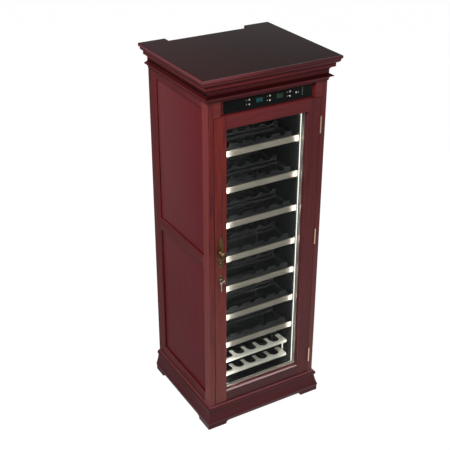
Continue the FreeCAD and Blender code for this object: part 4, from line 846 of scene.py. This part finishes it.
class CABINET_OT_fittings(bpy.types.Operator):
    """Finish the brass, keys and lock, and add the plate's relief and the screws"""

    bl_idname = "cabinet.fittings"
    bl_label = "Fittings"

    def execute(self, context):
        aged = cast_brass("brass_cast_aged", wear=0.35, gloss=0.42)
        bright = cast_brass("brass_polished_lacquered", wear=0.9, gloss=0.3)
        dress(aged, "knob_back_plate", "key_escutcheon")
        dress(cast_brass("brass_turned_aged", wear=0.1, gloss=0.55), "door_knob")
        dress(bright, "strike_plate")
        dress(plated_metal("brass_pressed_pale", linear("dcc0a4"), 0.35),
              "hinge_frame_leaves", "hinge_door_leaves", "hinge_pins")
        dress(plated_metal("steel_nickel_plated", colours().nickel, 0.2), "lock_key", "spare_key")
        dress(plated_metal("steel_zinc_plated", linear("8f9192"), 0.38), "lock_case", "lock_bolt")
        self.relief(aged)
        self.screws(bright)
        return {"FINISHED"}

    def relief(self, material):
        """Raised rim and bosses on the plate behind the knob."""
        middle = face_middle("knob_back_plate", FRONT)
        edge = {}
        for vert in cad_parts["knob_back_plate"].data.vertices:
            if abs(vert.co.y - middle.y) < 1e-5:
                edge[(round(vert.co.x, 5), round(vert.co.z, 5))] = None
        points = sorted(edge, key=lambda p: math.atan2((p[1] - middle.z) / 4, p[0] - middle.x))
        rim_inset, rim_radius, rim_sides = 0.0022, 0.0011, 8
        turns = [math.tau * side / rim_sides for side in range(rim_sides)]
        bm = bmesh.new()
        rings = []
        for index, (x, z) in enumerate(points):
            ahead, behind = points[(index + 1) % len(points)], points[index - 1]
            run = Vector((ahead[0] - behind[0], 0, ahead[1] - behind[1])).normalized()
            inward = Vector((-run.z, 0, run.x))
            centre = Vector((x, middle.y, z)) + inward * rim_inset
            rings.append([bm.verts.new(centre + (inward * math.cos(t) + FRONT * math.sin(t)) * rim_radius)
                          for t in turns])
        for first, second in zip(rings, rings[1:] + rings[:1]):
            bridge(bm, first, second)
        for rise, radius in ((0.056, 0.0062), (-0.056, 0.0062), (0.033, 0.0042), (-0.033, 0.0042)):
            boss = [(0, -0.0022), (radius * 0.35, -0.0020), (radius * 0.5, -0.0010), (radius * 0.7, -0.0016),
                    (radius * 0.92, -0.0009), (radius, 0.0)]
            add_turned(bm, boss, middle + Vector((0, 0, rise)), -FRONT, SMALL_SIDES)
        settle(piece("back_plate_relief", bm, material), "door", "brass")

    def screws(self, material):
        """Screws of the brass plates, one above and one below the middle of each."""
        head = sizes().screw
        inward = Vector((1, 0, 0))
        for name, body, plates in (
                ("plate_screws", "door", (("key_escutcheon", FRONT, 0.019, 0.5),
                                          ("knob_back_plate", FRONT, 0.077, 0.65))),
                ("strike_screws", "cabinet", (("strike_plate", inward, 0.021, 1.0),))):
            bm = bmesh.new()
            for node, out, rise, share in plates:
                for up in (rise, -rise):
                    add_screw(bm, face_middle(node, out) + Vector((0, 0, up)), out, head * share)
            settle(piece(name, bm, material), body, "brass")


class CABINET_OT_machinery(bpy.types.Operator):
    """Finish the fan, cooling unit and back sheet"""

    bl_idname = "cabinet.machinery"
    bl_label = "Machinery"

    def execute(self, context):
        plastic = moulded_plastic(
            "abs_moulded_black", linear("131415"), roughness=0.42, grit=0.0015, depth=0.0001)
        dress(plastic, "fan_housing", "fan_rotor")
        dress(powder_coat("steel_enamelled_black", linear("141414"), 0.35), "compressor", "condenser")
        dress(powder_coat("steel_sheet_painted_black", linear("1d1c1c"), 0.5), "back_panel")
        low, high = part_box("back_panel")
        rows, inset, lowest, highest = 7, 0.014, low.z + 0.03, high.z - 0.05
        bm = bmesh.new()
        for column in (low.x + inset, high.x - inset):
            for row in range(rows):
                z = lowest + row * (highest - lowest) / (rows - 1)
                add_screw(bm, (column, high.y, z), -FRONT, sizes().screw, 0.4 + row)
        zinc = plated_metal("steel_zinc_plated_screws", linear("8f9192"), 0.35)
        settle(piece("back_screws", bm, zinc), "cabinet", "lock_steel")
        return {"FINISHED"}


class CABINET_OT_stage(bpy.types.Operator):
    """Set the floor, surroundings, lights and camera"""

    bl_idname = "cabinet.stage"
    bl_label = "Stage"

    def execute(self, context):
        size, scene = sizes(), context.scene
        scene.view_settings.view_transform = "Standard"
        self.floor()
        self.world(scene)
        self.lamp("key_light", (-2.1, -1.95, 3.8), (0.0, -0.1, 1.2), size.key_watts, 1.1, 1.1)
        self.lamp("fill_light", (2.4, -2.6, 1.2), (0.0, 0.0, 1.0), size.fill_watts, 1.6, 1.2)
        self.lamp("rear_light", (2.4, 2.6, 0.95), (0.0, 0.1, 0.95), size.rear_watts, 3.0, 1.8)
        low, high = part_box("light_strips")
        # Each strip's light on the ends of the shelf fronts comes from a hidden lamp 3 mm before them
        for name, across, wide, spread, share in (("left_strip_light", -0.196, 0.032, 172, 2.9),
                                                  ("right_strip_light", 0.207, 0.008, 152, 0.85)):
            place = Vector((across, low.y - 0.003, (low.z + high.z) / 2))
            lamp = self.lamp(name, place, place - FRONT, size.strip_watts * share, wide, high.z - low.z)
            lamp.data.spread = math.radians(spread)
            lamp.visible_camera = lamp.visible_transmission = lamp.visible_glossy = False
        self.camera(scene)
        return {"FINISHED"}

    def eye_rays(self, tree):
        """All kinds of ray, and one for those from the camera, straight or through glass."""
        rays = add(tree, "LightPath", out=None)
        return rays, add(tree, "Math", {
            0: rays["Is Camera Ray"], 1: rays["Is Transmission Ray"]}, operation="MAXIMUM")

    def seen(self, tree, place):
        """How much of the white floor a ray sees; light that falls on the object sees none."""
        rays, eye = self.eye_rays(tree)
        axes = add(tree, "SeparateXYZ", {0: place}, None)
        across = add(tree, "Math", {0: axes[0], 1: axes[1]}, operation="SUBTRACT")
        # Mirrors see a floor that is bright just before the door and dim beside, behind and far from the cabinet
        front = add(tree, "MapRange", {"Value": across, 1: -0.5, 2: 0.6})
        near = add(tree, "MapRange", {"Value": axes[1], 1: -2.6, 2: -0.8, 3: 0.35, 4: 1.5})
        bright = add(tree, "Mix", {0: front, 2: 0.12, 3: near})
        mirror = add(tree, "Math", {0: rays["Is Glossy Ray"], 1: bright}, operation="MULTIPLY")
        return add(tree, "Math", {0: eye, 1: mirror}, operation="MAXIMUM")

    def floor(self):
        """A wide pale floor that stays white to the eye and keeps a faint shadow."""
        material, tree, place = new_material("studio_floor_pale")
        pale = add(tree, "BsdfDiffuse", {"Color": (0.35, 0.35, 0.35, 1)})
        glow = add(tree, "Emission", {"Color": (1, 1, 1, 1), "Strength": 0.95})
        shade = add(tree, "BsdfDiffuse", {"Color": (0.14, 0.14, 0.14, 1)})
        white = add(tree, "AddShader", {0: glow, 1: shade})
        close_material(tree, {0: self.seen(tree, place), 1: pale, 2: white}, "MixShader")
        bm = bmesh.new()
        bmesh.ops.create_grid(bm, x_segments=1, y_segments=1, size=40)
        piece("studio_floor", bm, material)

    def world(self, scene):
        """A white surround to the eye, with soft light from above and a room for mirrors to see."""
        scene.world = bpy.data.worlds.new("studio_surround")
        scene.world.use_nodes = True
        tree = scene.world.node_tree
        tree.nodes.clear()
        way = add(tree, "TexCoord", out="Generated")
        rise = add(tree, "SeparateXYZ", {0: way}, 2)
        # Mirrors see a white room, dim above its walls, with a wide lamp overhead
        walls = add(tree, "MapRange", {"Value": rise, 1: 0.2, 2: 0.36, 3: 0.47, 4: 0.02})
        above = add(tree, "MapRange", {"Value": rise, 1: 0.6, 2: 0.8, 4: 6.0})
        high = add(tree, "Math", {0: walls, 1: above}, operation="ADD")
        soft = add(tree, "MapRange", {"Value": rise, 1: 0.0, 2: 1.0, 3: 0.08, 4: 0.4})
        rays, eye = self.eye_rays(tree)
        mirror = add(tree, "Mix", {0: rays["Is Glossy Ray"], 2: soft, 3: high})
        strength = add(tree, "Mix", {0: eye, 2: mirror, 3: 1.0})
        sky = add(tree, "Background", {"Color": (1, 1, 1, 1), "Strength": strength})
        add(tree, "OutputWorld", {"Surface": sky}, None)

    def lamp(self, name, place, aim, watts, wide, tall):
        """A soft rectangular lamp turned towards a point."""
        data = bpy.data.lights.new(name, "AREA")
        data.shape = "RECTANGLE"
        data.energy = watts
        data.size, data.size_y = wide, tall
        lamp = bpy.data.objects.new(name, data)
        lamp.location = place
        lamp.rotation_euler = (Vector(aim) - Vector(place)).to_track_quat("-Z", "Y").to_euler()
        bpy.context.scene.collection.objects.link(lamp)
        return lamp

    def camera(self, scene):
        """The photograph's viewpoint."""
        data = bpy.data.cameras.new("camera")
        data.sensor_width = 36.0
        data.lens = 72.88
        data.clip_end = 200.0
        camera = bpy.data.objects.new("camera", data)
        camera.location = (-2.0957, -3.5046, 3.1683)
        tilt, turn = math.radians(28.2), math.radians(30.0)
        look = Vector((math.sin(turn) * math.cos(tilt), math.cos(turn) * math.cos(tilt), -math.sin(tilt)))
        camera.rotation_euler = look.to_track_quat("-Z", "Y").to_euler()
        scene.collection.objects.link(camera)
        scene.camera = camera


OPERATORS = (CABINET_OT_woodwork, CABINET_OT_cold_box, CABINET_OT_door_glass, CABINET_OT_control_strip,
             CABINET_OT_fittings, CABINET_OT_machinery, CABINET_OT_stage)


class CABINET_PT_panel(bpy.types.Panel):
    """Buttons for each group of pieces, with the sizes and colours below"""

    bl_idname = "CABINET_PT_panel"
    bl_label = "Wine cabinet"
    bl_space_type = "VIEW_3D"
    bl_region_type = "UI"
    bl_category = "Wine cabinet"

    def draw(self, context):
        for operator in OPERATORS:
            self.layout.operator(operator.bl_idname)
        for group in (context.scene.cabinet_sizes, context.scene.cabinet_colours):
            box = self.layout.box()
            for name in group.__annotations__:
                box.prop(group, name)


CLASSES = (CabinetColours, CabinetSizes, *OPERATORS, CABINET_PT_panel)


def register():
    for entry in CLASSES:
        bpy.utils.register_class(entry)
    bpy.types.Scene.cabinet_colours = PointerProperty(type=CabinetColours)
    bpy.types.Scene.cabinet_sizes = PointerProperty(type=CabinetSizes)


def unregister():
    del bpy.types.Scene.cabinet_sizes
    del bpy.types.Scene.cabinet_colours
    for entry in reversed(CLASSES):
        bpy.utils.unregister_class(entry)


def main():
    register()
    bpy.ops.cabinet.woodwork()
    bpy.ops.cabinet.cold_box()
    bpy.ops.cabinet.door_glass()
    bpy.ops.cabinet.control_strip()
    bpy.ops.cabinet.fittings()
    bpy.ops.cabinet.machinery()
    bpy.ops.cabinet.stage()


if __name__ == "__main__":
    main()
